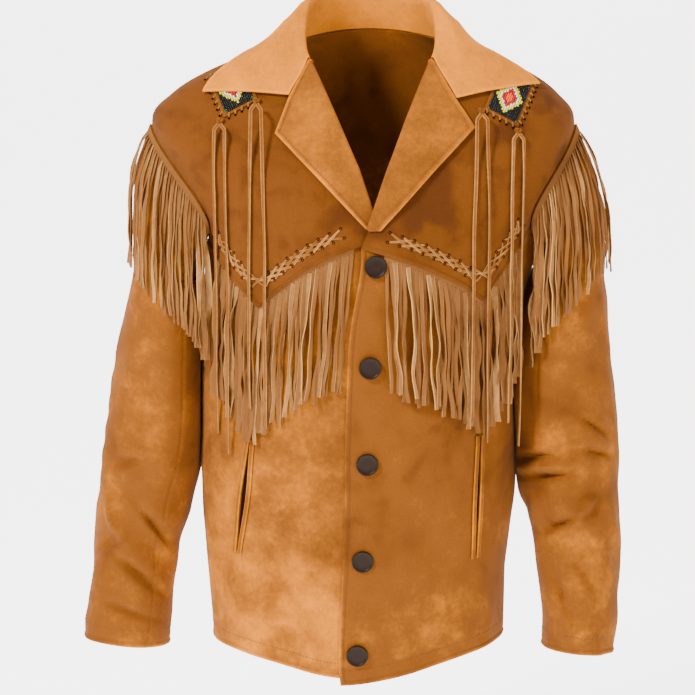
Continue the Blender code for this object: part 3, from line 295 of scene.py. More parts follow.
# How finely pieces are cut: the solids' own cells or, for the turned parts, rows
SIDE_CELLS, FRONT_CELLS, FRONT_YOKE_CELLS, BACK_CELLS, BACK_YOKE_CELLS = 9, 10, 12, 16, 20
COLLAR_CELLS, COLLAR_ROWS, COLLAR_STAND_ROWS = 26, 18, 6
LAPEL_ROWS, LAPEL_TURN_ROWS = 16, 8
PATCH_CELLS = 16
SPREAD_STEPS = 12
HALVINGS = 36

# Extra rows beside an edge, in millimetres from it, and the least room between the last and the next
EDGE_ROWS = (0.6, 1.3, 2.2, 3.2, 4.2, 5.0, 5.8, 6.6, 7.4, 8.4)
EDGE_ROW_ROOM = 0.8

# The cloth's ridges and dips across a turned edge and a seam: how far in, how wide and how high
Ridge = namedtuple("Ridge", "away width height")
TURNED_EDGE = (Ridge(2.8, 2.3, 1.0), Ridge(6.2, 1.1, -0.75))
ROUNDED_EDGE = (Ridge(0.0, 0.8, -0.45),)
WORN_EDGE = (Ridge(0.0, 2.6, 1.0),)
SEAM_DIP = (Ridge(0.0, 1.7, -0.75), Ridge(5.0, 2.2, 0.35))

# Uneven ripples of the cloth: their sizes along x, y and z, seed and depth
Ripple = namedtuple("Ripple", "lengths seed depth")
RIPPLE_WAVES = 9
BODY_RIPPLES = (Ripple((70, 90, 190), 3, 1.3), Ripple((38, 50, 60), 8, 0.55))
SLEEVE_RIPPLES = (Ripple((60, 60, 110), 20, 1.1), Ripple((30, 34, 36), 30, 0.65))
COLLAR_RIPPLES = (Ripple((60, 60, 50), 41, 0.5),)
LAPEL_RIPPLES = (Ripple((50, 50, 70), 51, 0.5),)

# Where the body's cloth lies calm: out to the side, up beside the arm, at the neck and at the hem,
# each as its start and reach, and how calm it lies at the last three
BODY_MIDDLE = -4
CALM_SIDE, CALM_ARM, CALM_NECK, CALM_HEM = (128, 42), (-520, 160), (-190, 90), (-690, -30)
CALM_SHARES = (0.97, 0.9, 0.4)

# The lapels: how far the foot is from the break, the gorge inside the seam and the roll off the edge
LAPEL_FOOT = (13, 1.0)
GORGE_INSET = (0.8, -1.2)
ROLL_OFF = 0.36

# How strands differ in length, lean, lift, wander, turn and tone, and where their headers lie
STRAND_ANGLE = 50
STRAND_LENGTH_SPREAD, STRAND_LEAN_SPREAD, STRAND_LIFT_SPREAD = 0.07, 0.03, 0.8
SHORT_STRANDS, SHORT_LENGTHS = 0.06, (0.86, 0.95)
SWAY_WAVES, TWIST_WAVES = ((0.9, 0.36), (1.6, 0.7)), ((0.85, 0.33), (0.75, 0.4))
# The strands of the layer nearest the cloth, lying under the others, are darkened as painted shade
STRAND_TONE, STRAND_TONE_SPREAD, INNER_STRAND_SHADE = -0.12, 0.34, -0.5
STRAND_TONE_LIMITS = (-1.1, 1)
HEADER_LIFT, SLEEVE_HEADER_LIFT = 0.45, 1.15
HEADER_LINES = 5

# Rings of a punched hole, as size and height, and of a stitch, as place along it, size and height
HOLE_RINGS = ((1.35, -0.25), (1.12, 0.3), (0.78, 0.12), (0.5, -0.35))
STITCH_RINGS = ((-0.5, 0.35, -0.15), (-0.28, 1, 0.16), (0.28, 1, 0.16), (0.5, 0.35, -0.15))
STITCH_LENGTH, STITCH_WIDTH = 2.9, 0.75

# Laces: height of the yoke's under and over ones, room for a hanging one, the window that it clears
LACING_HEIGHTS = (1.2, 2.4)
THONG_ROOM, THONG_THICK = 1.9, 1.5
THONG_WINDOW = (-3, 0, 3)
LACE_TWIST = ((0.7, 0.3), (0.35, 0.15))
KNOT_LIFT, KNOT_SIZE, KNOT_TUBE = 2.9, (1.15, 1.35, 1.1), (1.35, 0.8)
KNOT_STEPS, KNOT_SIDES, KNOT_TONE, KNOT_RIM = 72, 8, -0.1, 0.8

# The patches: outer and inner face off the cloth, and the rings of the diamond from its middle
PATCH_OUTER, PATCH_INNER = 1.9, 0.8
DIAMOND = ((0.12, "orange"), (0.23, "red"), (0.28, "white"), (0.38, "yellow"), (0.78, "black"))
WHIP_PITCH, WHIP_SLANT = 8.2, 3.2

BEFORE_CLOTH = -400
TORSO = ("front_left_suede", "front_right_suede", "back_suede")
ARMS = ("sleeve_left", "sleeve_right")


def clamp(value, low=0.0, high=1.0):
    return np.minimum(np.maximum(value, low), high)


def ease(value):
    """0 to 1, leaving and arriving level."""
    value = clamp(value)
    return value * value * (3 - 2 * value)


def zone(values, start, reach):
    """0 up to the start, rising smoothly to 1 within the reach."""
    return ease((values - start) / reach)


def unit(vectors):
    return vectors / np.maximum(np.linalg.norm(vectors, axis=-1, keepdims=True), 1e-9)


def rows_at(rows, positions):
    """The rows of a table at fractional positions, on a smooth curve through them."""
    rows = np.array(rows, float)
    last = len(rows) - 1
    positions = clamp(np.asarray(positions, float), 0, last)
    start = np.minimum(positions.astype(int), last - 1)
    part = (positions - start)[..., None]
    before, a, b, after = (rows[np.clip(start + k, 0, last)] for k in (-1, 0, 1, 2))
    return 0.5 * (
        2 * a
        + (b - before) * part
        + (2 * before - 5 * a + 4 * b - after) * part**2
        + (3 * a - before - 3 * b + after) * part**3
    )


def straight_at(rows, positions):
    """The same with straight lines between the rows."""
    rows = np.array(rows, float)
    last = len(rows) - 1
    positions = clamp(np.asarray(positions, float), 0, last)
    start = np.minimum(positions.astype(int), last - 1)
    part = positions - start
    part = part.reshape(part.shape + (1,) * (rows.ndim - 1))
    return rows[start] * (1 - part) + rows[start + 1] * part


def place(angle, height):
    return np.stack(np.broadcast_arrays(np.asarray(angle, float), height), axis=-1)


def body(places):
    """Points of the body form at (angle, height)."""
    places = np.asarray(places, float)
    ring = rows_at(RINGS, places[..., 1])
    across, along = np.sin(places[..., 0]), np.cos(places[..., 0])
    front = along > 0
    depth = np.where(front, ring[..., 1], ring[..., 2])
    end_z = np.where(front, ring[..., 3], ring[..., 5])
    z = ring[..., 4] * across**2 + end_z * along**2
    return np.stack([ring[..., 6] + ring[..., 0] * across, -depth * along, z], -1)


def body_normals(places):
    """The outward directions there."""
    angle, height = places[..., 0], places[..., 1]
    round_it = body(place(angle + 0.01, height)) - body(place(angle - 0.01, height))
    low, high = clamp(height - 0.02, 0, NECK), clamp(height + 0.02, 0, NECK)
    return unit(np.cross(round_it, body(place(angle, high)) - body(place(angle, low))))


def seen_at(spots, front=True):
    """The places on the body form that are seen at (x, z) from the front, or from the back."""
    spots = np.asarray(spots, float)
    low, high = np.zeros(spots.shape[:-1]), np.full(spots.shape[:-1], NECK)
    for _ in range(HALVINGS):
        height = (low + high) / 2
        ring = rows_at(RINGS, height)
        across = clamp((spots[..., 0] - ring[..., 6]) / ring[..., 0], -1, 1)
        end_z = ring[..., 3] if front else ring[..., 5]
        below = ring[..., 4] * across**2 + end_z * (1 - across**2) < spots[..., 1]
        low, high = np.where(below, height, low), np.where(below, high, height)
    angle = np.arcsin(across)
    return place(angle if front else math.pi - angle, height)


def armhole(turns, side):
    """Places of the armhole at turns in degrees: 0 shoulder tip, 90 front, 180 underarm, 270 back."""
    turns = np.radians(np.asarray(turns, float))
    middle, half = (SHOULDER_TIP + UNDERARM) / 2, (SHOULDER_TIP - UNDERARM) / 2
    swing = np.sin(turns)
    reach = np.where(swing > 0, ARMHOLE_SPREAD["front"], ARMHOLE_SPREAD["back"])
    width = ARMHOLE_WIDTH - ARMHOLE_NARROWING * np.cos(turns)
    away = reach * np.sign(swing) * np.abs(swing) ** ARMHOLE_POWER * width
    return place(side * (math.pi / 2 - away), middle + half * np.cos(turns))


def armhole_run(first, last, side):
    """The armhole between two of the solids' steps, finely."""
    turns = np.linspace(first, last, abs(last - first) * FINE + 1) * 360 / ARMHOLE_STEPS
    return armhole(turns, side)


def run_along(line):
    """How far along a line each of its points lies."""
    return np.concatenate([[0], np.cumsum(np.linalg.norm(np.diff(line, axis=0), axis=1))])


def at_run(wanted, run, values):
    """Rows of values this far along their line."""
    return np.stack([np.interp(wanted, run, column) for column in values.T], -1)


def spread(points, count, measure=np.asarray, smooth=True):
    """count + 1 points, evenly spaced along the route through these points."""
    points = np.array(points, float)
    positions = np.linspace(0, len(points) - 1, SPREAD_STEPS * (len(points) - 1) + 1)
    fine = (rows_at if smooth and len(points) > 2 else straight_at)(points, positions)
    run = run_along(measure(fine))
    return at_run(np.linspace(0, run[-1], count + 1), run, fine)


def fill(bottom, top, inner, outer):
    """A grid of places between four edges on the body, with heights and angles that always advance."""

    def shares(edge, k):
        return (edge[:, k] - edge[0, k]) / (edge[-1, k] - edge[0, k])

    near, far = shares(inner, 1)[:, None], shares(outer, 1)[:, None]
    low, high = shares(bottom, 0)[None], shares(top, 0)[None]
    rise = near + (far - near) * np.linspace(0, 1, len(bottom))[None]
    along = low + (high - low) * rise
    angle = inner[:, :1] + (outer[:, :1] - inner[:, :1]) * along
    return place(angle, bottom[None, :, 1] + (top - bottom)[None, :, 1] * rise)


def patch(bottom, top, inner, outer):
    """A grid of flat points filling the space between four edges (a Coons patch)."""
    r = np.linspace(0, 1, len(inner))[:, None, None]
    s = np.linspace(0, 1, len(bottom))[None, :, None]
    ruled = (1 - r) * bottom[None] + r * top[None] + (1 - s) * inner[:, None] + s * outer[:, None]
    return ruled - (1 - r) * ((1 - s) * bottom[0] + s * bottom[-1]) - r * ((1 - s) * top[0] + s * top[-1])


def slopes(grid, axis):
    """Differences between a grid's neighbours along an axis, one-sided at its ends."""
    padded = np.concatenate([grid.take([0], axis), grid, grid.take([-1], axis)], axis)
    count = grid.shape[axis]
    return padded.take(range(2, count + 2), axis) - padded.take(range(count), axis)


def grid_normals(grid):
    return unit(np.cross(slopes(grid, 1), slopes(grid, 0)))


def directions(line):
    """Which way a line runs at each of its points."""
    return unit(slopes(line[None], 1)[0])


def drawn_in(grid, gap, edges="lrbt"):
    """The grid with its edges drawn in by half a seam gap: l and r are columns, b and t rows."""
    grid = grid.copy()
    for letter, first, second in (("l", 0, 1), ("r", -1, -2)):
        if letter in edges:
            grid[:, first] += unit(grid[:, second] - grid[:, first]) * gap / 2
    for letter, first, second in (("b", 0, 1), ("t", -1, -2)):
        if letter in edges:
            grid[first] += unit(grid[second] - grid[first]) * gap / 2
    return grid


def lap_lift(points):
    """How far the left front stands off the body form where it laps over the right one."""
    x, z = points[..., 0], points[..., 2]
    height = LAP_LIFT_LOW + (LAP_LIFT_TOP - LAP_LIFT_LOW) * zone(z, *LAP_RISE)
    across = ease((LAP_END_X - x) / (LAP_END_X - LAP_FULL_X))
    return height * across * (1 - zone(z, *LAP_FALL))


def base_lift(points, side):
    return np.where((points[..., 1] < 0) & (side == LEFT), lap_lift(points), 0.0)


def waves(points, lengths, seed):
    """Smooth, uneven ripples over points, from -1 to 1; lengths are their sizes along x, y and z."""
    chance = np.random.default_rng(seed)
    total = np.zeros(points.shape[:-1])
    for _ in range(RIPPLE_WAVES):
        way = chance.normal(size=3)
        way *= 2 * math.pi * chance.uniform(0.55, 1.3) / np.linalg.norm(way) / np.array(lengths)
        total += np.sin(points @ way + chance.uniform(0, 2 * math.pi))
    return total / math.sqrt(RIPPLE_WAVES)


def ripples(points, rows, shift=0):
    """The sum of these ripples, with their seeds shifted."""
    return sum(waves(points, row.lengths, row.seed + shift) * row.depth for row in rows)


def trim_settings():
    return bpy.context.scene.jacket_trim


def ease_of_cloth(points):
    """How far the body's cloth bellies out or in, from drag lines and slack, calm beside the arms."""
    x, y, z = points[..., 0], points[..., 1], points[..., 2]
    total = ripples(points, BODY_RIPPLES)
    for drag in BODY_DRAGS:
        right, up = x - drag.x, z - drag.z
        along = right * math.cos(drag.slant) + up * math.sin(drag.slant)
        off = -right * math.sin(drag.slant) + up * math.cos(drag.slant)
        shape = np.exp(-((along / drag.length) ** 2) - (off / drag.width) ** 2)
        total += drag.depth * shape * (y * drag.face < 0)
    beside_arm = zone(np.abs(x - BODY_MIDDLE), *CALM_SIDE) * zone(z, *CALM_ARM)
    for share, calm in zip(CALM_SHARES, (beside_arm, zone(z, *CALM_NECK), zone(z, *CALM_HEM))):
        total = total * (1 - share * calm)
    return total * cloth_settings().slack


GRIDS = {}


def cloth_settings():
    return bpy.context.scene.jacket_cloth


def edge_distances(grid, letters):
    """Distances in the cloth from each point to the nearest of these edges."""
    nearest = np.full(grid.shape[:2], 1e9)
    for letter in letters:
        axis = 1 if letter in "lr" else 0
        steps = np.linalg.norm(np.diff(grid, axis=axis), axis=-1)
        run = np.cumsum(steps, axis=axis)
        start = np.zeros_like(run.take([0], axis))
        run = np.concatenate([start, run], axis)
        if letter in "rt":
            run = run.take([-1], axis) - run
        nearest = np.minimum(nearest, run)
    return nearest


def finer_lines(grid, letters):
    """Row and column positions of a grid, with extra ones beside these edges."""
    positions = []
    for axis, first, last in ((0, "b", "t"), (1, "l", "r")):
        count = grid.shape[axis] - 1
        cell = np.linalg.norm(np.diff(grid, axis=axis), axis=-1).sum(axis).mean() / count
        own = list(np.arange(count + 1, dtype=float))
        for letter, sign, end in ((first, 1, 0), (last, -1, count)):
            if letter in letters:
                clear = EDGE_ROWS[-1] + EDGE_ROW_ROOM
                own = [p for p in own if p == end or abs(p - end) * cell > clear]
                own += [end + sign * away / cell for away in EDGE_ROWS]
        positions.append(np.array(sorted(own)))
    return positions


def resampled(grid, row_positions, column_positions):
    rows = straight_at(grid, row_positions)
    return straight_at(rows.swapaxes(0, 1), column_positions).swapaxes(0, 1)


def new_mesh_object(name, points, faces, finish, smooth_angle=60, **values):
    """One object at the origin with its place in its mesh, sizes given in millimetres."""
    mesh = bpy.data.meshes.new(name)
    mesh.from_pydata(np.asarray(points, float) * MM, [], faces)
    for key, given in values.items():
        layer = mesh.attributes.new(key, "FLOAT", "POINT")
        layer.data.foreach_set("value", np.asarray(given, np.float32))
    mesh.shade_smooth()
    mesh.set_sharp_from_angle(angle=math.radians(smooth_angle))
    mesh.materials.append(finish)
    made = bpy.data.objects.new(name, mesh)
    bpy.context.scene.collection.objects.link(made)
    return made


def outward(points, faces):
    """The faces of a closed mesh, turned to look outwards as its four-sided ones tell."""
    a, b, c, d = (points[[f[k] for f in faces if len(f) == 4]] for k in range(4))
    inside_out = (a * (np.cross(b, c) + np.cross(c, d))).sum() < 0
    return [f[::-1] for f in faces] if inside_out else faces


def cells(rows, columns):
    """The corners of each cell of a grid of this many rows and columns."""
    index = np.arange(rows * columns).reshape(rows, columns)
    return np.stack([index[:-1, :-1], index[:-1, 1:], index[1:, 1:], index[1:, :-1]], -1).reshape(-1, 4)


def wall_faces(rows, columns):
    """Faces of the closed wall between two grids of this many rows and columns."""
    square, back = cells(rows, columns), rows * columns
    index = np.arange(back).reshape(rows, columns)
    rim = np.concatenate([index[0, :-1], index[:-1, -1], index[-1, :0:-1], index[:0:-1, 0]])
    after = np.roll(rim, -1)
    side = np.stack([rim, rim + back, after + back, after], -1)
    return np.concatenate([square, square[:, ::-1] + back, side]).tolist()


def ridges(away, rows):
    """The height of these ridges at these distances from an edge."""
    return sum(row.height * np.exp(-(((away - row.away) / row.width) ** 2)) for row in rows)[..., None]


def add_cloth(name, outer, inward, finish, seams, free, tone, inner=None, roll=1.0, sunk=1.0):
    """A cloth wall from its outer grid. Free edges are turned and rolled, seamed ones dip.

    inward gives the thickness and hand: the inner face is the outer one moved along its normals by it.
    """
    if inner is None:
        inner = outer + grid_normals(outer) * inward
    rows, columns = finer_lines(outer, free + seams)
    outer, inner = resampled(outer, rows, columns), resampled(inner, rows, columns)
    normals = grid_normals(outer) * (-1 if inward > 0 else 1)
    worn = np.zeros(outer.shape[:2])
    if free:
        away = edge_distances(outer, free)
        swell = ridges(away, TURNED_EDGE) * cloth_settings().edge_roll * roll
        outer = outer + normals * (swell + ridges(away, ROUNDED_EDGE))
        worn = ridges(away, WORN_EDGE)
    if seams:
        outer = outer + normals * ridges(edge_distances(outer, seams), SEAM_DIP) * sunk
    points = np.concatenate([outer.reshape(-1, 3), inner.reshape(-1, 3)])
    faces = outward(points, wall_faces(*outer.shape[:2]))
    tones = np.linspace(*np.broadcast_to(tone, 2), len(rows)).repeat(len(columns))
    made = new_mesh_object(name, points, faces, finish, rim=np.tile(worn.ravel(), 2), tone=np.tile(tones, 2))
    GRIDS[name] = (outer, normals)
    return made


def finish_sheet(piece, node):
    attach(piece, "root")
    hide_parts(node)


def tree_of(names):
    """A search tree over the outer faces of these cloths, turned outwards."""
    points, faces, start = [], [], 0
    for name in names:
        grid, normals = GRIDS[name]
        square = cells(*grid.shape[:2]) + start
        if (grid_normals(grid) * normals).sum() < 0:
            square = square[:, ::-1]
        faces += square.tolist()
        points.append(grid.reshape(-1, 3))
        start += len(points[-1])
    return BVHTree.FromPolygons(np.concatenate(points).tolist(), faces)


def chest_tree(side):
    """The same for a front and its yoke."""
    name = SIDE_NAME[side]
    return tree_of([f"front_{name}_suede", f"front_yoke_{name}_suede"])


def panel(places, lift=None):
    """Outer and inner grids of a wall on the body form; lift is by point and shares of row and column."""
    r = np.linspace(0, 1, places.shape[0])[:, None]
    c = np.linspace(0, 1, places.shape[1])[None]
    points, normals = body(places), body_normals(places)
    up = ease_of_cloth(points) + (lift(points, r, c) if lift else 0)
    thick, gap = cloth_settings().suede / MM, cloth_settings().seam_gap / MM
    outer, inner = points + normals * up[..., None], points + normals * (up - thick)[..., None]
    return drawn_in(outer, gap), drawn_in(inner, gap)


def hem_places(angles, drop=0.0):
    """The hem at these angles."""
    dip = HEM_DIP * clamp(np.cos(angles), 0, 1) ** 6
    low, high = np.zeros_like(angles), np.full_like(angles, 2.0)
    for _ in range(HALVINGS):
        height = (low + high) / 2
        below = body(place(angles, height))[..., 2] < HEM_LEVEL - dip - drop
        low, high = np.where(below, height, low), np.where(below, high, height)
    return place(angles, height)


def side_seam(side):
    foot = hem_places(np.array([side * math.pi / 2]))[0, 1]
    return place(side * math.pi / 2, np.linspace(foot, UNDERARM, SIDE_CELLS * FINE_SIDE + 1))


def shoulder_seam(side, count):
    return place(side * math.pi / 2, np.linspace(SHOULDER_TIP, NECK, count * FINE + 1))[1:]


def tucked(spots, reach, ends):
    """These spots raised by the tuck, but for the ones at these ends, where cloth meets cloth."""
    ends = [k % len(spots) for k in ends]
    return [(x, z + (0 if k in ends else reach)) for k, (x, z) in enumerate(spots)]


def yoke_edge(side, count, raised=0.0):
    """Places along a front yoke's lower edge, or this far above it away from the armhole."""
    spots = tucked([FRONT_EDGE_TOP[side], *YOKE_LINE[side]], raised, (0, 1, -1))
    last = armhole(YOKE_STEP[side] * 360 / ARMHOLE_STEPS, side)
    return spread(np.vstack([seen_at(spots), last[None]]), count, measure=body, smooth=False)


def back_yoke_edge(count, raised=0.0):
    """Places along the back yoke's lower edge, from the wearer's left armhole to the right one."""
    half = seen_at(tucked(BACK_YOKE_LINE, raised, (-1,)), front=False)
    left = np.vstack([armhole(-YOKE_STEP["back"] * 360 / ARMHOLE_STEPS, LEFT)[None], half[::-1]])
    right = left[-2::-1] * [-1, 1] + [2 * math.pi, 0]
    return spread(np.vstack([left, right]), count, measure=body, smooth=False)


def roll_spots(side):
    """The roll line, seen from the front, from the break to the neck."""
    end = body(place(side * GORGE_ANGLE, NECK))[[0, 2]]
    return spread([BREAK[side], *ROLL_LINE[side], end], ROLL_STEPS * FINE, smooth=False)


def front_cloth(side):
    columns = FRONT_CELLS * FINE
    armhole_part = armhole_run(ARMHOLE_STEPS // 2, YOKE_STEP[side], side)
    outer = np.vstack([side_seam(side), armhole_part[1:]])
    edge = seen_at([*FRONT_EDGE[side], FRONT_EDGE_TOP[side]])
    drop = LEFT_CORNER_DROP if side == LEFT else 0.0
    edge[0] = hem_places(edge[0, :1], drop)[0]
    inner = spread(edge, len(outer) - 1, measure=body)
    top = yoke_edge(side, columns, YOKE_TUCK)
    angles = np.linspace(inner[0, 0], side * math.pi / 2, columns + 1)
    bottom = hem_places(angles, drop * (1 - np.linspace(0, 1, columns + 1)) ** 4)
    return panel(fill(bottom, top, inner, outer), lambda points, r, c: base_lift(points, side))


def front_yoke_places(side):
    columns = FRONT_YOKE_CELLS * FINE
    shoulder = shoulder_seam(side, FRONT_YOKE_CELLS - YOKE_STEP[side])
    outer = np.vstack([armhole_run(YOKE_STEP[side], 0, side), shoulder])
    opening = seen_at(spread([FRONT_EDGE_TOP[side], BREAK[side]], 2 * FINE))
    end = np.array([[side * GORGE_ANGLE, NECK]])
    inner = np.vstack([opening, seen_at(roll_spots(side)[1:-1]), end])
    bottom = yoke_edge(side, columns)
    top = place(side * np.linspace(GORGE_ANGLE, math.pi / 2, columns + 1), NECK)
    return fill(bottom, top, inner, outer)


def front_yoke_cloth(side):
    def lift(points, r, c):
        ends = ease(c / YOKE_OPEN_FADE[side]) * ease((1 - c) / YOKE_END_FADE)
        return base_lift(points, side) + YOKE_LIFT * (1 - ease(r / YOKE_LIFT_FADE)) * ends

    return panel(front_yoke_places(side), lift)


def whole_turn(places):
    """Places on the wearer's right with their angle counted on past 180 degrees."""
    return np.where(places[:, :1] < 0, places + [2 * math.pi, 0], places)


def back_cloth():
    columns = BACK_CELLS * FINE
    half, last = ARMHOLE_STEPS // 2, ARMHOLE_STEPS - YOKE_STEP["back"]
    left = np.vstack([side_seam(LEFT), armhole_run(half, last, LEFT)[1:]])
    right = whole_turn(np.vstack([side_seam(RIGHT), armhole_run(half, last, RIGHT)[1:]]))
    bottom = hem_places(np.linspace(math.pi / 2, 1.5 * math.pi, columns + 1))
    return panel(fill(bottom, back_yoke_edge(columns, YOKE_TUCK), left, right))


def back_yoke_cloth():
    columns = BACK_YOKE_CELLS * FINE
    first = ARMHOLE_STEPS - YOKE_STEP["back"]
    left, right = (
        np.vstack([armhole_run(first, ARMHOLE_STEPS, side), shoulder_seam(side, 5)]) for side in (LEFT, RIGHT)
    )
    top = place(np.linspace(math.pi / 2, 1.5 * math.pi, columns + 1), NECK)

    def lift(_, r, c):
        ends = ease(np.minimum(c, 1 - c) / YOKE_END_FADE * 2)
        return YOKE_LIFT * (1 - ease(r / YOKE_LIFT_FADE)) * ends

    return panel(fill(back_yoke_edge(columns), top, left, whole_turn(right)), lift)


def sleeve_axes(side, positions):
    """Ring values, and down, outward and forward directions of the arm at these positions."""
    here = rows_at(SLEEVE[side], positions)
    down = unit((rows_at(SLEEVE[side], positions + 0.25) - rows_at(SLEEVE[side], positions - 0.25))[..., :3])
    outward = unit(np.array([side, 0, 0]) - down * down[..., :1] * side)
    forward = np.cross(down, outward) * side
    return here, down, outward, np.where(forward[..., 1:2] > 0, -forward, forward)


def arm_points(side, turns, positions):
    here, _, outward, forward = sleeve_axes(side, positions)
    turns = np.radians(turns)[..., None]
    round_it = outward * here[..., 3:4] * np.cos(turns) + forward * here[..., 4:5] * np.sin(turns)
    return here[..., :3] + round_it, unit(round_it)


def head_points(side, turns, shares):
    """The sleeve head, from the armhole seam at share 0 to the first arm ring at 1."""
    start = body(armhole(turns, side))
    end = arm_points(side, turns, np.zeros_like(turns))[0]
    radians = np.radians(turns)
    top, under = clamp(np.cos(radians), 0, 1), clamp(-np.cos(radians), 0, 1)
    leave = np.stack([side * (0.45 + 0.5 * under), -0.42 * np.sin(radians), -0.85 + 0.1 * top], -1)
    reach = np.linalg.norm(end - start, axis=-1, keepdims=True)
    leave = unit(leave) * reach * (1.0 + 0.25 * (1 - top))[..., None]
    arrive = sleeve_axes(side, np.zeros(1))[1][0] * reach * 0.9
    s = shares[..., None]
    return (
        start * (2 * s**3 - 3 * s**2 + 1)
        + leave * (s**3 - 2 * s**2 + s)
        + end * (-2 * s**3 + 3 * s**2)
        + arrive * (s**3 - s**2)
    )


def fold_depths(side, turns, positions, folds):
    """How far the folds push the cloth out or in at these spots of the arm."""
    depth = rows_at(SLEEVE[side], positions)[..., 4]
    total = np.zeros(np.broadcast_shapes(turns.shape, positions.shape))
    for fold in folds:
        if fold.side == side:
            round_it = np.radians((turns - fold.turn + 180) % 360 - 180) * depth
            along = (positions / (len(SLEEVE[side]) - 1) - fold.row) * SLEEVE_LENGTH
            lengthwise = round_it * math.cos(fold.slant) + along * math.sin(fold.slant)
            crosswise = -round_it * math.sin(fold.slant) + along * math.cos(fold.slant)
            total = total + fold.depth * np.exp(
                -((lengthwise / fold.length) ** 2) - (crosswise / fold.width) ** 2
            )
    return total


def sleeve_grid(side):
    """The whole sleeve's outer face, from the armhole down to the cuff, a column for each turn."""
    turns = np.linspace(0, 360, ARMHOLE_STEPS * FINE + 1)[None]
    shares = np.linspace(0, 1, SLEEVE_HEAD_ROWS * FINE, endpoint=False)[:, None]
    head = head_points(side, turns + 0 * shares, shares + 0 * turns)
    last = len(SLEEVE[side]) - 1
    positions = np.linspace(0, last, SLEEVE_ARM_ROWS * FINE_SIDE + 1)[:, None] + 0 * turns
    arm, outwards = arm_points(side, turns + 0 * positions, positions)
    towards_body = -np.cos(np.radians(turns))
    calm = ease(positions * 3) * (1 - INNER_CALM * zone(towards_body, *INNER_SIDE))
    slack = cloth_settings().slack
    depths = fold_depths(side, turns, positions, SLEEVE_FOLDS)
    depths += fold_depths(side, turns, positions, SLEEVE_CREASES) * slack * cloth_settings().crease
    depths += ripples(arm, SLEEVE_RIPPLES, side) * calm * slack
    arm = arm + outwards * depths[..., None]
    torso = tree_of(TORSO)
    lean = ease(0.25 + towards_body * 1.8) * ease(positions * 12)
    lean = lean * ease((LEAN_END - positions / last) / LEAN_FADE)
    for row, column in zip(*np.nonzero(lean > 0.02)):
        near = torso.find_nearest(Vector(arm[row, column]))[3]
        arm[row, column] += outwards[row, column] * clamp(near - ARM_GAP, 0, ARM_LEAN) * lean[row, column]
    return np.concatenate([head, arm])


def collar_grid():
    """Stand and fall of the collar's outer face, with the free edge resting on the shoulders."""
    columns, rows, stand_rows = COLLAR_CELLS * FINE, COLLAR_ROWS, COLLAR_STAND_ROWS

    def front_edge(side):
        seam = place(side * (GORGE_ANGLE + 0.015), NECK)
        notch, point = seen_at([GORGE_END[side], COLLAR_POINT[side]])
        middle = (seam + notch) / 2 - [side * COLLAR_BELLY, 0]
        first = spread([seam, middle, notch], rows // 3, measure=body)
        second = spread([notch, point], rows - rows // 3, measure=body)
        return whole_turn(np.vstack([first, second[1:]]))

    left, right = front_edge(LEFT), front_edge(RIGHT)
    quarter = math.pi / 2
    shoulder = [(quarter, COLLAR_SHOULDER_HEIGHT), (1.5 * quarter, COLLAR_SHOULDER_HEIGHT - 0.05)]
    back = [(2 * quarter, COLLAR_BACK_HEIGHT)]
    other = [(4 * quarter - a, h) for a, h in reversed(shoulder)]
    outer = spread([left[-1], *shoulder, *back, *other, right[-1]], columns, measure=body)
    seam = place(np.linspace(left[0, 0], right[0, 0], columns + 1), NECK)
    places = fill(seam, outer, left, right)
    share = np.linspace(0, 1, columns + 1)
    grown = ease(np.minimum(share, 1 - share) / 0.16)[:, None]
    neck = body(places[0])
    lifted = neck + body_normals(places[0]) * COLLAR_LIFT
    inward = unit(-neck * [1, 1, 0])
    up = np.array([0, 0, 1.0])
    rise = COLLAR_STAND_END + (COLLAR_STAND - COLLAR_STAND_END) * grown
    crest = neck + (lifted - neck) * (1 - grown) + inward * COLLAR_LEAN * grown + up * rise
    fold = COLLAR_FOLD * (0.2 + 0.8 * grown)
    foot, stand_top = neck + up * COLLAR_SEAM, crest + inward * fold * 1.6 - up * fold
    over = crest + inward * fold * 0.7
    sides = [foot + (stand_top - foot) * k / stand_rows for k in range(stand_rows)]
    arch = [stand_top, (stand_top + over) / 2 + up * fold * 0.35, over]
    lying = body(places) + body_normals(places) * COLLAR_LIFT
    fall = [lying[j] + (crest - lifted) * (1 - j / rows) ** COLLAR_DRAPE for j in range(1, rows + 1)]
    ripple = ripples(np.array(fall), COLLAR_RIPPLES)
    fall = np.array(fall) + up * ripple[..., None] * np.linspace(0, 1, rows)[:, None, None]
    return np.concatenate([np.array(sides + arch), fall])


def cloth_front(spots, tree):
    """Points on the foremost cloth seen at (x, z), and the body's outward directions there."""
    spots = np.asarray(spots, float)
    places = seen_at(spots)
    normals, fallback = body_normals(places), body(places)
    found = fallback.reshape(-1, 3).copy()
    for k, (x, z) in enumerate(spots.reshape(-1, 2)):
        hit = tree.ray_cast(Vector((x, BEFORE_CLOTH, z)), Vector((0, 1, 0)))[0]
        if hit:
            found[k] = hit
    return found.reshape(fallback.shape), normals


def lapel_lift(share):
    return LAPEL_LIFT_FOOT + (LAPEL_LIFT - LAPEL_LIFT_FOOT) * ease(share / 0.35)


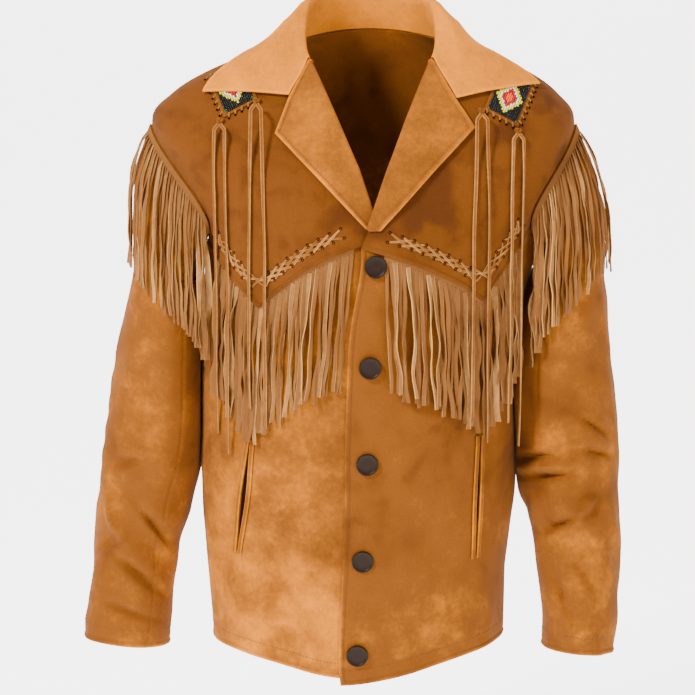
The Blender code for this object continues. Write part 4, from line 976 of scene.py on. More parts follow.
def lapel_grid(side, tree, yoke):
    """Outer and inner faces of a turned-back front, rolled at the roll line and lying on the chest."""
    roll = roll_spots(side)
    columns = len(roll) - 1
    foot = np.array([BREAK[side][0] + side * LAPEL_FOOT[0], BREAK[side][1] + LAPEL_FOOT[1]])
    lower = spread([foot, LAPEL_POINT[side]], columns)
    end = roll[-1] + [side * GORGE_INSET[0], GORGE_INSET[1]]
    notch = np.array(GORGE_END[side]) + [0, GORGE_INSET[1]]
    gorge = spread([end, notch, LAPEL_POINT[side]], LAPEL_ROWS, smooth=False)
    roll[-1], lower[-1] = gorge[0], gorge[-1]
    spots = patch(roll, lower, spread([roll[0], foot], LAPEL_ROWS), gorge)
    base = yoke[-len(roll) :, 0]
    points, normals = cloth_front(spots, tree)
    points[0, :, 1] = base[:, 1]
    points[..., 0], points[..., 2] = spots[..., 0], spots[..., 1]
    lifts = lapel_lift(np.linspace(0, 1, columns + 1))
    lying = points + normals * lifts[None, :, None]
    gentle = ripples(lying, LAPEL_RIPPLES) * np.linspace(0, 1, LAPEL_ROWS + 1)[:, None]
    lying = lying + normals * gentle[..., None]
    roll_normals = body_normals(seen_at(roll))
    away = unit(np.cross(directions(base), roll_normals))
    away = np.where(away[:, :1] * side < 0, away, -away)
    low = -cloth_settings().suede / MM
    middle, radius = (lifts + low) / 2, (lifts - low) / 2
    turn = []
    for k in range(LAPEL_TURN_ROWS):
        angle = math.pi * (1 - k / LAPEL_TURN_ROWS)
        up = roll_normals * (middle + radius * math.cos(angle))[:, None]
        turn.append(base + up + away * (ROLL_OFF + radius * math.sin(angle))[:, None])
    outer = np.concatenate([np.array(turn), lying])
    thick = cloth_settings().faced / MM
    inner = outer + grid_normals(outer) * side * thick
    inner[0] = outer[0] + roll_normals * thick * 0.9
    return outer, inner


class Ribbons:
    """Many narrow strips of suede gathered into one mesh."""

    def __init__(self):
        self.points, self.faces, self.rim, self.tone = [], [], [], []

    def add(self, centres, across, rise, widths, thick, tone=0.0, round_it=0.32, pale=(1.0, 1.0)):
        """A strip along these centres, ten-sided, paler towards its two cut edges by pale; on the fringe
        strands this paleness is a painted highlight.
        """
        centres, across, rise = (np.asarray(a, float) for a in (centres, across, rise))
        half = np.broadcast_to(np.asarray(widths, float), len(centres))[:, None] / 2
        thick = np.broadcast_to(np.asarray(thick, float), len(centres))[:, None]
        shoulder = half - thick * round_it
        face = shoulder - np.minimum(PALE_EDGE, shoulder * 0.45)
        ring, rims = [], []
        for up, near, far in ((1, pale[0], pale[1]), (-1, pale[1], pale[0])):
            section = (
                (half, 0, near), (shoulder, up, 0.9 * near), (face, up, 0),
                (-face, up, 0), (-shoulder, up, 0.9 * far),
            )
            for out, high, rim in section:
                ring.append(centres - across * up * out + rise * high * thick / 2)
                rims.append(rim)
        start, sides, count = len(self.points), len(ring), len(centres)
        self.points += np.stack(ring, 1).reshape(-1, 3).tolist()
        for a in range(start, start + sides * (count - 1), sides):
            for c in range(sides):
                d = (c + 1) % sides
                self.faces.append([a + c, a + sides + c, a + sides + d, a + d])
        self.faces.append([start + c for c in range(sides)])
        self.faces.append([start + sides * (count - 1) + c for c in reversed(range(sides))])
        self.rim += rims * count
        self.tone += [tone] * sides * count

    def build(self, name, finish):
        points = np.array(self.points)
        faces = outward(points, self.faces)
        return new_mesh_object(name, points, faces, finish, STRAND_ANGLE, rim=self.rim, tone=self.tone)


def hang(start, out, length, trees, lift, lean):
    """Points down a strand that hangs from start and stays this far outside the cloth below it."""
    fine = STRAND_STEPS * STRAND_FINE
    points, point = [Vector(start)], Vector(start)
    outwards = Vector((out[0], out[1], 0)).normalized()
    for k in range(1, fine + 1):
        point = point + Vector((lean, 0, -1)).normalized() * (length / fine)
        wanted = lift * min(1.0, ROOT_LIFT + k / fine * LIFT_SPEED)
        for _ in range(3):
            for tree in trees:
                near, normal, _, _ = tree.find_nearest(point)
                off = (point - near).dot(normal)
                if off < wanted and (point - near).length < NEAR_CLOTH:
                    point = point + outwards * (wanted - off) / max(normal.dot(outwards), LEAST_FACING)
        if k % STRAND_FINE == 0:
            points.append(point.copy())
    return np.array(points)


def smooth_line(values, chance, lengths=(0.5, 0.23), sizes=(1.0, 0.5)):
    """An uneven wave along a strand, 0 at its root."""
    total = np.zeros_like(values)
    for length, size in zip(lengths, sizes):
        phase = chance.uniform(0, 2 * math.pi)
        wave = np.sin(values / length * 2 * math.pi + phase) - math.sin(phase)
        total += size * wave * chance.uniform(0.4, 1)
    return total


def add_strands(ribbons, roots, trees, kind, seed):
    """A strand from each root (left and right side at the header's foot, outward direction, lean)."""
    chance = np.random.default_rng(seed)
    trim, layers = trim_settings(), STRAND_LAYERS[kind]
    share = np.linspace(0, 1, STRAND_STEPS + 1)
    for k, (left, right, out, lean) in enumerate(roots):
        width = np.linalg.norm(right - left)
        long = STRAND_LENGTH[kind] * (1 + STRAND_LENGTH_SPREAD * (chance.random() - 0.5))
        if chance.random() < SHORT_STRANDS:
            long *= chance.uniform(*SHORT_LENGTHS)
        lean += STRAND_LEAN_SPREAD * (chance.random() - 0.5)
        lift = layers[k % len(layers)] + chance.uniform(0, STRAND_LIFT_SPREAD)
        line = hang((left + right) / 2, out, long, trees, lift, lean)
        level = unit((right - left) * [1, 1, 0])
        outwards = np.cross(level, [0, 0, 1])
        outwards = outwards if outwards @ out > 0 else -outwards
        sway = smooth_line(share, chance, *SWAY_WAVES) * share**0.7 * trim.strand_sway
        twist = smooth_line(share, chance, *TWIST_WAVES) * trim.strand_twist * clamp(share * 5)
        stand = np.abs(np.sin(twist)) * width * 0.45 * clamp(share * 4)
        line = line + level * sway[:, None] + outwards * stand[:, None]
        turned, ahead = np.cos(twist)[:, None], np.sin(twist)[:, None]
        across, rise = level * turned + outwards * ahead, outwards * turned - level * ahead
        narrowing = 1 - 0.1 * clamp(share * 6) + 0.06 * smooth_line(share, chance)
        tone = STRAND_TONE_SPREAD * chance.standard_normal() + STRAND_TONE
        # Strands of the innermost layer are darker: painted shade under the outer strands
        tone = float(clamp(tone + INNER_STRAND_SHADE * (k % len(layers) == 0), *STRAND_TONE_LIMITS))
        # One cut edge of each strand is made paler than the other, a painted highlight where light falls on
        # it
        pale = chance.uniform(0.05, 1, 2) ** 1.6 * 1.25
        thick = trim.strand_thick / MM
        ribbons.add(line, across, rise, width * narrowing, thick, tone, pale=pale.tolist())


def edge_roots(xs, edge, front, side):
    """Points of a header's top and foot, and outward directions, under a yoke's edge at these x."""
    z = np.interp(xs, edge[:, 0], edge[:, 2])
    lifted = HEADER_LIFT + trim_settings().strand_thick / MM / 2
    made = []
    for shift in (HEADER_TUCK, 0.0, -HEADER_SHOW):
        places = seen_at(np.stack([xs, z + shift], -1), front)
        points = body(places)
        up = lifted + ease_of_cloth(points) + (base_lift(points, side) if front else 0)
        if shift > 0:
            up = up - 0.3
        made.append(points + body_normals(places) * up[:, None])
    return np.array(made), body_normals(seen_at(np.stack([xs, z], -1), front))


def fringe_header(rows, normals, thick):
    """Points and faces of the uncut strip that a fringe hangs from, as a wall of its own."""
    lines = np.linspace(0, len(rows) - 1, HEADER_LINES)
    fine = resampled(rows, lines, np.arange(rows.shape[1], dtype=float))
    outer, inner = fine + normals[None] * thick / 2, fine - normals[None] * thick / 2
    points = np.concatenate([outer.reshape(-1, 3), inner.reshape(-1, 3)])
    return points, outward(points, wall_faces(*outer.shape[:2]))


def build_fringe(name, header, header_normals, roots, trees, kind, seed):
    """Header and strands as one mesh that stands for the fringe's solid."""
    strands = Ribbons()
    add_strands(strands, roots, trees, kind, seed)
    points = np.array(strands.points)
    top, top_faces = fringe_header(header, header_normals, trim_settings().strand_thick / MM)
    faces = outward(points, strands.faces) + [[v + len(points) for v in f] for f in top_faces]
    rim = strands.rim + [0.0] * len(top)
    # The header, tucked under the yoke's edge, is darkened as painted shade
    tone = strands.tone + [HEADER_SHADE] * len(top)
    points = np.vstack([points, top])
    finish = finishes()["fringe"]
    piece = new_mesh_object(name + "_suede", points, faces, finish, STRAND_ANGLE, rim=rim, tone=tone)
    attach(piece, "root")
    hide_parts(name)


def strand_cells(length, kind):
    """How many strands a fringe of this length has, and the shares of it where each starts and ends."""
    count = round(length / (trim_settings().strand_pitch / MM * STRAND_SHARE[kind]))
    starts = (np.arange(count) + (1 - STRAND_CUT) / 2) / count
    return count, np.stack([starts, starts + STRAND_CUT / count], -1)


def hang_from_yoke(name, edge, ends, feet, front, side, trees, kind, seed):
    """A fringe under a yoke's edge, with the x where its ends start and where their feet hang."""
    edge = edge[np.argsort(edge[:, 0])]
    first, last = ends
    count, pairs = strand_cells(abs(last - first), kind)
    rows, normals = edge_roots(np.linspace(first, last, count * 2 + 1), edge, front, side)
    roots = []
    for k, pair in enumerate(pairs):
        both, outs = edge_roots(first + (last - first) * pair, edge, front, side)
        lean = 0.0
        if feet:
            foot = np.interp((k + 0.5) / count, (0, 1), feet)
            lean = (foot - both[2][:, 0].mean()) / STRAND_LENGTH[kind]
        roots.append((both[2][0], both[2][1], unit(outs.sum(0)), lean))
    build_fringe(name, rows[::-1], normals, roots, trees, kind, seed)


def make_yoke_fringe(side, trees):
    edge, name = body(yoke_edge(side, 200)), f"fringe_front_{SIDE_NAME[side]}"
    hang_from_yoke(name, edge, FRINGE_ENDS[side], FRINGE_FEET[side], True, side, trees, "yoke", 11 + side)


def make_back_fringe(trees):
    ends = (-FRINGE_BACK_END, FRINGE_BACK_END)
    hang_from_yoke("fringe_back", body(back_yoke_edge(240)), ends, None, False, LEFT, trees, "back", 5)


def on_sleeve(grid, turns, rows):
    """Points on the sleeve's outer face at turns in degrees and rows of the solids' head."""
    columns = (np.asarray(turns) % 360) / 360 * ARMHOLE_STEPS * FINE
    rows = np.broadcast_to(np.asarray(rows, float) * FINE, columns.shape)
    j, i = rows.astype(int), columns.astype(int)
    after = (i + 1) % (grid.shape[1] - 1)
    across, down = (columns - i)[..., None], (rows - j)[..., None]
    upper = grid[j, i] * (1 - across) + grid[j, after] * across
    lower = grid[j + 1, i] * (1 - across) + grid[j + 1, after] * across
    return upper * (1 - down) + lower * down


def make_sleeve_fringe(side, trees):
    """The fringe round the sleeve head, just outside the armhole seam."""
    lifted = SLEEVE_HEADER_LIFT + trim_settings().strand_thick / MM / 2
    grid = GRIDS[f"sleeve_{SIDE_NAME[side]}"][0]
    turns = np.linspace(*SLEEVE_FRINGE_TURNS, 241)
    run = run_along(on_sleeve(grid, turns, 0.2) * [1, 1, 0.25])

    def header(shares):
        own = np.interp(shares * run[-1], run, turns)
        start, ahead = on_sleeve(grid, own, 0), on_sleeve(grid, own, 0.9)
        beside = on_sleeve(grid, own + 3, 0.3) - on_sleeve(grid, own - 3, 0.3)
        down = unit(ahead - start)
        out = unit(np.cross(beside, down)) * side
        top = start + down * SLEEVE_FRINGE_SEAM + out * lifted
        return np.array([top, top + down * 4, top + down * 8]), out

    count, pairs = strand_cells(run[-1], "sleeve")
    rows, normals = header(np.linspace(0, 1, count * 2 + 1))
    roots = []
    for both, outs in map(header, pairs):
        roots.append((both[2][0], both[2][1], unit(outs.sum(0)), 0.0))
    name = f"fringe_sleeve_{SIDE_NAME[side]}"
    build_fringe(name, rows[::-1], normals, roots, trees, "sleeve", 21 + side)


def lying_on(line, outs):
    """Directions across and off a flat lace along a line, on cloth that faces outs."""
    ahead = directions(line)
    across = unit(np.cross(ahead, outs))
    rise = np.cross(across, ahead)
    return across, np.where((rise * outs).sum(-1, keepdims=True) > 0, rise, -rise)


def crossing_lace(ribbons, a, b, normal, height, width, thick, tone, steps=7):
    """A lace that rises out of one hole, arches over the suede and goes down the next."""
    share = np.linspace(0, 1, steps)
    arch = np.sin(math.pi * share)
    up = arch**0.6 * height - 0.9 * (np.abs(share - 0.5) > 0.49)
    line = a + (b - a) * share[:, None] + normal * up[:, None]
    across, rise = lying_on(line, normal)
    ribbons.add(line, across, rise, width * (0.72 + 0.28 * arch), thick, tone)


def punched_hole(points, faces, centre, normal, radius, sides=10):
    """A dark, slightly sunk disc with a soft rim, as one of many; its dark colour is the painted shade inside
    the hole.
    """
    side = unit(np.cross(normal, [0, 0, 1.0]))
    up = np.cross(side, normal)
    start = len(points)
    for size, height in HOLE_RINGS:
        for turn in np.arange(sides) * 2 * math.pi / sides:
            ring = side * math.cos(turn) + up * math.sin(turn)
            points.append(centre + ring * radius * size + normal * height)
    last = start + (len(HOLE_RINGS) - 1) * sides
    for a in range(start, last, sides):
        for k in range(sides):
            after = (k + 1) % sides
            faces.append([a + k, a + after, a + sides + after, a + sides + k])
    faces.append([last + k for k in range(sides)])
    faces.append([start + k for k in reversed(range(sides))])


def stitch_lines(name, letter, offset, skip):
    """Points and normals in a line this far from an edge of a cloth, without these shares of its ends."""
    grid, normals = GRIDS[name]
    if letter in "bt":
        grid, normals = grid.swapaxes(0, 1), normals.swapaxes(0, 1)
    if letter in "rt":
        grid, normals = grid[:, ::-1], normals[:, ::-1]
    line, outs = [], []
    for row, row_normals in zip(grid, normals):
        run = run_along(row)
        if run[-1] > offset * 1.5:
            line.append(at_run(offset, run, row))
            outs.append(at_run(offset, run, row_normals))
    first, last = round(skip[0] * (len(line) - 1)), round((1 - skip[1]) * (len(line) - 1))
    return np.array(line)[first : last + 1], unit(np.array(outs))[first : last + 1]


def sew(points, faces, line, outs, pitch):
    """Adds a run of short raised stitches along a line."""
    run, ahead = run_along(line), directions(line)
    for middle in np.arange(pitch, run[-1] - pitch / 2, pitch):
        centre, way, out = (at_run(middle, run, values) for values in (line, ahead, outs))
        way, out = unit(way), unit(out)
        side = np.cross(way, out)
        start = len(points)
        for along, size, height in STITCH_RINGS:
            ring = centre + way * along * STITCH_LENGTH + out * height
            for turn in np.radians((45, 135, 225, 315)):
                section = side * math.cos(turn) + out * math.sin(turn) * 0.75
                points.append(ring + section * STITCH_WIDTH / 2 * size)
        for a in range(start, start + 12, 4):
            for c in range(4):
                d = (c + 1) % 4
                faces.append([a + c, a + d, a + 4 + d, a + 4 + c])
        faces.append([start + c for c in (3, 2, 1, 0)])
        faces.append([start + 12 + c for c in range(4)])


def suede_group():
    """Napped suede: blotched colour, pale edges, a tone that adds painted light and shade to whole pieces,
    and a fine brushed nap. The pale edges are wear on the cloth and a painted highlight on the fringe's cut
    edges.
    """
    found = bpy.data.node_groups.get("Suede Nap")
    if found:
        return found
    group = bpy.data.node_groups.new("Suede Nap", "ShaderNodeTree")
    for name, kind, default in (
        ("Base", "NodeSocketColor", (0.4, 0.17, 0.05, 1)),
        ("Light", "NodeSocketColor", (0.6, 0.3, 0.1, 1)),
        ("Dark", "NodeSocketColor", (0.25, 0.09, 0.02, 1)),
        ("Blotch Scale", "NodeSocketFloat", 13.0),
        ("Nap Scale", "NodeSocketFloat", 900.0),
        ("Blotching", "NodeSocketFloat", 1.0),
        ("Rim", "NodeSocketFloat", 0.0),
        ("Tone", "NodeSocketFloat", 0.0),
        ("Edge Wear", "NodeSocketFloat", 0.4),
    ):
        group.interface.new_socket(name, in_out="INPUT", socket_type=kind).default_value = default
    group.interface.new_socket("Color", in_out="OUTPUT", socket_type="NodeSocketColor")
    group.interface.new_socket("Height", in_out="OUTPUT", socket_type="NodeSocketFloat")
    nodes, links = group.nodes, group.links
    given, out = nodes.new("NodeGroupInput").outputs, nodes.new("NodeGroupOutput").inputs
    place_in = nodes.new("ShaderNodeTexCoord").outputs["Object"]

    def feed(socket, value):
        if isinstance(value, (int, float)):
            socket.default_value = value
        else:
            links.new(value, socket)

    def noise(scale, detail, roughness, distortion=0.0, shift=0.0):
        node = nodes.new("ShaderNodeTexNoise")
        keys = ("Scale", "Detail", "Roughness", "Distortion")
        for key, value in zip(keys, (scale, detail, roughness, distortion)):
            feed(node.inputs[key], value)
        vector = place_in
        if shift:
            mapping = nodes.new("ShaderNodeMapping")
            mapping.inputs["Location"].default_value = (shift, shift * 0.7, shift * 1.3)
            links.new(place_in, mapping.inputs["Vector"])
            vector = mapping.outputs["Vector"]
        links.new(vector, node.inputs["Vector"])
        return node.outputs["Fac"]

    def maths(kind, a, b):
        node = nodes.new("ShaderNodeMath")
        node.operation = kind
        for socket, value in zip(node.inputs, (a, b)):
            feed(socket, value)
        return node.outputs["Value"]

    def add(a, b):
        return maths("ADD", a, b)

    def times(a, b):
        return maths("MULTIPLY", a, b)

    def ranged(*values):
        """The value, smoothly taken from between the next two numbers to between the last two."""
        node = nodes.new("ShaderNodeMapRange")
        node.interpolation_type = "SMOOTHSTEP"
        for key, value in zip(("Value", "From Min", "From Max", "To Min", "To Max"), values):
            feed(node.inputs[key], value)
        return node.outputs["Result"]

    def mixed(share, a, b, kind="MIX"):
        node = nodes.new("ShaderNodeMix")
        node.data_type = "RGBA"
        node.blend_type = kind
        colours = [socket for socket in node.inputs if socket.type == "RGBA"]
        for socket, value in zip((node.inputs["Factor"], *colours), (share, a, b)):
            feed(socket, value)
        return next(socket for socket in node.outputs if socket.type == "RGBA")

    blotch = noise(given["Blotch Scale"], 2.5, 0.5, 0.35)
    cloud = noise(34.0, 3.0, 0.55, 0.25, 3.1)
    fleck = noise(170.0, 3.0, 0.6, 0.0, 7.7)
    nap = noise(given["Nap Scale"], 2.0, 0.7)
    lit = add(ranged(blotch, 0.3, 0.8, -0.06, 0.3), ranged(cloud, 0.34, 0.8, -0.05, 0.18))
    # Tone lightens or darkens a whole piece: partly its own shade of suede, partly painted light and shade
    lit = add(times(lit, given["Blotching"]), times(given["Tone"], 0.6))
    lit = add(lit, times(maths("SUBTRACT", fleck, 0.5), 0.35))
    # The rim's paleness: wear along the cloth's turned edges, and a painted highlight along the fringe
    # strands' cut edges
    lit = add(lit, times(given["Rim"], given["Edge Wear"]))
    shaded = add(ranged(blotch, 0.5, 0.28, -0.05, 0.42), ranged(cloud, 0.52, 0.26, 0.0, 0.24))
    shaded = maths("SUBTRACT", times(shaded, given["Blotching"]), times(given["Tone"], 0.42))
    colour = mixed(ranged(shaded, 0.0, 1.0, 0.0, 0.9), given["Base"], given["Dark"])
    colour = mixed(ranged(lit, 0.0, 1.0, 0.0, 1.0), colour, given["Light"])
    grey = nodes.new("ShaderNodeCombineColor")
    speck = ranged(nap, 0.3, 0.7, 0.86, 1.1)
    for socket in grey.inputs:
        links.new(speck, socket)
    links.new(mixed(1.0, colour, grey.outputs["Color"], "MULTIPLY"), out["Color"])
    brushed = add(times(nap, 0.35), times(fleck, 0.5))
    links.new(add(brushed, times(cloud, 0.6)), out["Height"])
    return group


def new_material(name):
    """A material with its tree's nodes and links, and its shader's inputs."""
    made = bpy.data.materials.new(name)
    made.use_nodes = True
    tree = made.node_tree
    return made, tree.nodes, tree.links, tree.nodes["Principled BSDF"].inputs


def add_bump(nodes, links, height, strength, distance, normal):
    bump = nodes.new("ShaderNodeBump")
    bump.inputs["Strength"].default_value = strength
    bump.inputs["Distance"].default_value = distance
    links.new(height, bump.inputs["Height"])
    links.new(bump.outputs["Normal"], normal)


def suede_material(name, base, light, dark, blotching, bump, wear_and_highlight):
    made, nodes, links, shader = new_material(name)
    nap = nodes.new("ShaderNodeGroup")
    nap.node_tree = suede_group()
    for key, value in (("Base", base), ("Light", light), ("Dark", dark)):
        nap.inputs[key].default_value = (*value, 1.0)
    nap.inputs["Blotching"].default_value = blotching
    nap.inputs["Edge Wear"].default_value = wear_and_highlight
    for key in ("Rim", "Tone"):
        attribute = nodes.new("ShaderNodeAttribute")
        attribute.attribute_name = key.lower()
        links.new(attribute.outputs["Fac"], nap.inputs[key])
    links.new(nap.outputs["Color"], shader["Base Color"])
    add_bump(nodes, links, nap.outputs["Height"], bump, NAP_HEIGHT, shader["Normal"])
    for key, value in SUEDE_SHEEN.items():
        shader[key].default_value = value
    return made


def plain_material(name, colour, roughness, bump=0.0, scale=400.0, vary=0.28, shine=0.2):
    """A finish with a little colour variation and fine surface unevenness."""
    made, nodes, links, shader = new_material(name)
    coords, noise = nodes.new("ShaderNodeTexCoord"), nodes.new("ShaderNodeTexNoise")
    noise.inputs["Scale"].default_value = scale
    noise.inputs["Detail"].default_value = 3.0
    links.new(coords.outputs["Object"], noise.inputs["Vector"])
    ramp = nodes.new("ShaderNodeValToRGB")
    for element, share in zip(ramp.color_ramp.elements, (1 - vary, 1 + vary)):
        element.color = (*(min(c * share, 1.0) for c in colour), 1.0)
    links.new(noise.outputs["Fac"], ramp.inputs["Fac"])
    links.new(ramp.outputs["Color"], shader["Base Color"])
    if bump:
        add_bump(nodes, links, noise.outputs["Fac"], bump, GRAIN_HEIGHT, shader["Normal"])
    shader["Roughness"].default_value = roughness
    shader["Specular IOR Level"].default_value = shine
    return made


FINISHES = {}


def finishes():
    """The jacket's materials, made once from the colours in the panel."""
    if not FINISHES:
        c = bpy.context.scene.jacket_colours
        for key, name, colours, blotching, bump, wear_and_highlight in (
            ("suede", "jacket_suede", (c.suede, c.suede_light, c.suede_dark), 1.05, 0.45, 0.35),
            ("collar", "collar_suede", (c.suede, c.suede_light, c.suede_dark), 0.7, 0.45, 0.35),
            ("fringe", "fringe_suede", (c.fringe, c.fringe_light, c.fringe_dark), 0.6, 0.5, 0.6),
            ("lace", "lace_suede", (c.suede, c.fringe_light, c.suede_dark), 0.4, 0.5, 0.32),
        ):
            FINISHES[key] = suede_material(name, *colours, blotching, bump, wear_and_highlight)
        FINISHES["thread"] = plain_material("seam_thread", c.thread, 0.7, 0.3, 900.0)
        # The hole finish is near black: painted shade inside the holes and the pocket openings
        FINISHES["hole"] = plain_material("punched_hole", c.hole, 0.95, 0.2, 700.0, shine=0.02)
        FINISHES["button"] = plain_material("horn_button", c.button, 0.42, 0.08, 160.0, shine=0.1)
        for name in BEAD_NAMES:
            key = f"bead_{name}"
            FINISHES[key] = plain_material(key, getattr(c, key), 0.22, 0.0, 300.0, shine=0.22)
    return FINISHES


def metres(name, value, description):
    return FloatProperty(
        name=name, default=value, description=description, subtype="DISTANCE", unit="LENGTH", precision=4
    )


def number(name, value, description):
    return FloatProperty(name=name, default=value, description=description)


def colour(name, value, description):
    return FloatVectorProperty(
        name=name, default=value, description=description, subtype="COLOR", size=3, min=0.0, max=1.0
    )


class JacketCloth(bpy.types.PropertyGroup):
    """Sizes of the cut suede and its seams."""

    suede: metres("Suede", 0.0018, "Thickness of the single suede")
    faced: metres("Faced suede", 0.0022, "Thickness of the collar and lapels")
    seam_gap: metres("Seam gap", 0.00001, "Space between two pieces at a seam")
    edge_roll: number("Edge roll", 0.75, "Swell of a turned edge, in mm")
    slack: number("Slack", 1.25, "Strength of the cloth's folds and creases")
    crease: number("Creases", 3.9, "Depth of the sleeves' sharper creases")
    stitch_pitch: metres("Stitch pitch", 0.0042, "Length of one stitch and its gap")
    edge_stitch: metres("Edge stitching", 0.0062, "How far the edge stitching lies from a turned edge")


class JacketTrim(bpy.types.PropertyGroup):
    """Sizes of the fringe, laces, beads and buttons."""

    strand_pitch: metres("Strand pitch", 0.0047, "Width of one cut strand of fringe")
    strand_thick: metres("Strand thickness", 0.0012, "Thickness of the fringe suede")
    strand_sway: number("Strand sway", 1.9, "How far strands wander, in mm")
    strand_twist: number("Strand twist", 1.0, "How far strands turn, in radians")
    lace_width: metres("Lace width", 0.0025, "Width of the yoke lacing")
    lace_thick: metres("Lace thickness", 0.0011, "Thickness of the yoke lacing")
    lace_hole: metres("Lace hole", 0.0015, "Radius of a punched hole")
    thong_width: metres("Thong width", 0.0042, "Width of the long hanging laces")
    bead: metres("Bead", 0.00125, "Radius of one bead")


class JacketColours(bpy.types.PropertyGroup):
    """Colours of each finish, in linear light."""

    suede: colour("Suede", (0.134, 0.0385, 0.0038), "Main colour of the suede")
    # The light and dark suede colours also carry each piece's painted light and shade through its tone: the
    # collar's painted highlight in the light one, the yokes' painted shade in the dark one
    suede_light: colour("Suede, light", (0.58, 0.168, 0.002), "Where the nap is brushed up or worn")
    suede_dark: colour("Suede, dark", (0.05, 0.0125, 0.0016), "Where the nap is pressed down")
    fringe: colour("Fringe", (0.15, 0.056, 0.0135), "Main colour of the fringe and laces")
    # The fringe's light colour also paints the highlight along one cut edge of each strand
    fringe_light: colour("Fringe, light", (0.48, 0.24, 0.075), "Cut edges of the fringe")
    fringe_dark: colour("Fringe, dark", (0.075, 0.022, 0.005), "Shaded strands of the fringe")
    thread: colour("Thread", (0.085, 0.026, 0.005), "Sewing thread")
    # The holes' near-black inside is painted shade of the hole's depth
    hole: colour("Hole", (0.006, 0.0022, 0.001), "Inside of the punched holes")
    button: colour("Button", (0.011, 0.0045, 0.0018), "Dark horn")
    bead_black: colour("Bead, black", (0.0012, 0.0018, 0.0014), "Ground of the beadwork")
    bead_red: colour("Bead, red", (0.32, 0.003, 0.0015), "Inner diamond of the beadwork")
    bead_yellow: colour("Bead, yellow", (0.5, 0.44, 0.003), "Outline of the beadwork")
    bead_white: colour("Bead, white", (0.6, 0.58, 0.5), "Light steps of the beadwork")
    bead_green: colour("Bead, green", (0.008, 0.07, 0.015), "Corner steps of the beadwork")
    bead_orange: colour("Bead, orange", (0.6, 0.09, 0.002), "Heart of the beadwork")


def deselect():
    if bpy.context.mode != "OBJECT":
        bpy.ops.object.mode_set(mode="OBJECT")
    bpy.ops.object.select_all(action="DESELECT")


class JACKET_OT_body(bpy.types.Operator):
    """Cut the fronts, the back and the three yokes, hung from the shoulders"""

    bl_idname = "jacket.body"
    bl_label = "Fronts, Back and Yokes"

    def cut(self, name, grids, inward, seams, free, tone):
        outer, inner = grids
        return add_cloth(f"{name}_suede", outer, inward, finishes()["suede"], seams, free, tone, inner)

    def execute(self, context):
        deselect()
        thick = cloth_settings().suede / MM
        for side in (LEFT, RIGHT):
            name = SIDE_NAME[side]
            piece = self.cut(f"front_{name}", front_cloth(side), -side * thick, "rt", "lb", FRONT_TONES[side])
            finish_sheet(piece, f"front_{name}")
            yoke = front_yoke_cloth(side)
            GRIDS[f"front_yoke_{name}_base"] = (yoke[0], grid_normals(yoke[0]) * side)
            piece = self.cut(f"front_yoke_{name}", yoke, -side * thick, "rt", "b", FRONT_YOKE_TONE)
            finish_sheet(piece, f"front_yoke_{name}")
        piece = self.cut("back", back_cloth(), -thick, "lrt", "b", BACK_TONE)
        finish_sheet(piece, "back")
        piece = self.cut("back_yoke", back_yoke_cloth(), -thick, "lrt", "b", BACK_YOKE_TONE)
        finish_sheet(piece, "back_yoke")
        return {"FINISHED"}


class JACKET_OT_sleeves(bpy.types.Operator):
    """Cut the upper and under sleeve of each arm, with their folds"""

    bl_idname = "jacket.sleeves"
    bl_label = "Sleeves"

    def execute(self, context):
        deselect()
        thick, gap = cloth_settings().suede / MM, cloth_settings().seam_gap / MM
        suede = finishes()["suede"]
        for side in (LEFT, RIGHT):
            whole = sleeve_grid(side)
            normals = grid_normals(np.concatenate([whole[:, -2:-1], whole, whole[:, 1:2]], 1))[:, 1:-1]
            GRIDS[f"sleeve_{SIDE_NAME[side]}"] = (whole, normals * side)
            first, last = (k * FINE for k in UNDER_SLEEVE_STEPS)
            steps = ARMHOLE_STEPS * FINE
            runs = {"under": np.arange(first, last + 1), "upper": np.arange(last, steps + first + 1)}
            for part, run in runs.items():
                outer = whole[:, run % steps]
                inner = outer - normals[:, run % steps] * side * thick
                outer, inner = drawn_in(outer, gap, "lrb"), drawn_in(inner, gap, "lrb")
                name, inward = f"sleeve_{SIDE_NAME[side]}_{part}", -side * thick
                piece = add_cloth(
                    f"{name}_suede", outer, inward, suede, "lrb", "t", SLEEVE_TONE, inner, sunk=0.5
                )
                finish_sheet(piece, name)
        return {"FINISHED"}


class JACKET_OT_collar(bpy.types.Operator):
    """Fold the collar and roll the two lapels"""

    bl_idname = "jacket.collar"
    bl_label = "Collar and Lapels"

    def execute(self, context):
        deselect()
        thick, finish = cloth_settings().faced / MM, finishes()["collar"]
        piece = add_cloth("collar_suede", collar_grid(), -thick, finish, "", "lrt", COLLAR_TONE, roll=1.5)
        finish_sheet(piece, "collar")
        for side in (LEFT, RIGHT):
            name = SIDE_NAME[side]
            outer, inner = lapel_grid(side, chest_tree(side), GRIDS[f"front_yoke_{name}_base"][0])
            piece = add_cloth(
                f"lapel_{name}_suede", outer, side * thick, finish, "", "tr", LAPEL_TONE, inner, roll=1.4
            )
            finish_sheet(piece, f"lapel_{name}")
        return {"FINISHED"}


class JACKET_OT_fringe(bpy.types.Operator):
    """Cut the fringe of the yokes, the back and the sleeve heads, strand by strand"""

    bl_idname = "jacket.fringe"
    bl_label = "Fringe"

    def execute(self, context):
        deselect()
        trees = [tree_of(TORSO), tree_of(ARMS)]
        make_back_fringe(trees)
        for side in (LEFT, RIGHT):
            make_yoke_fringe(side, trees)
            make_sleeve_fringe(side, trees)
        return {"FINISHED"}


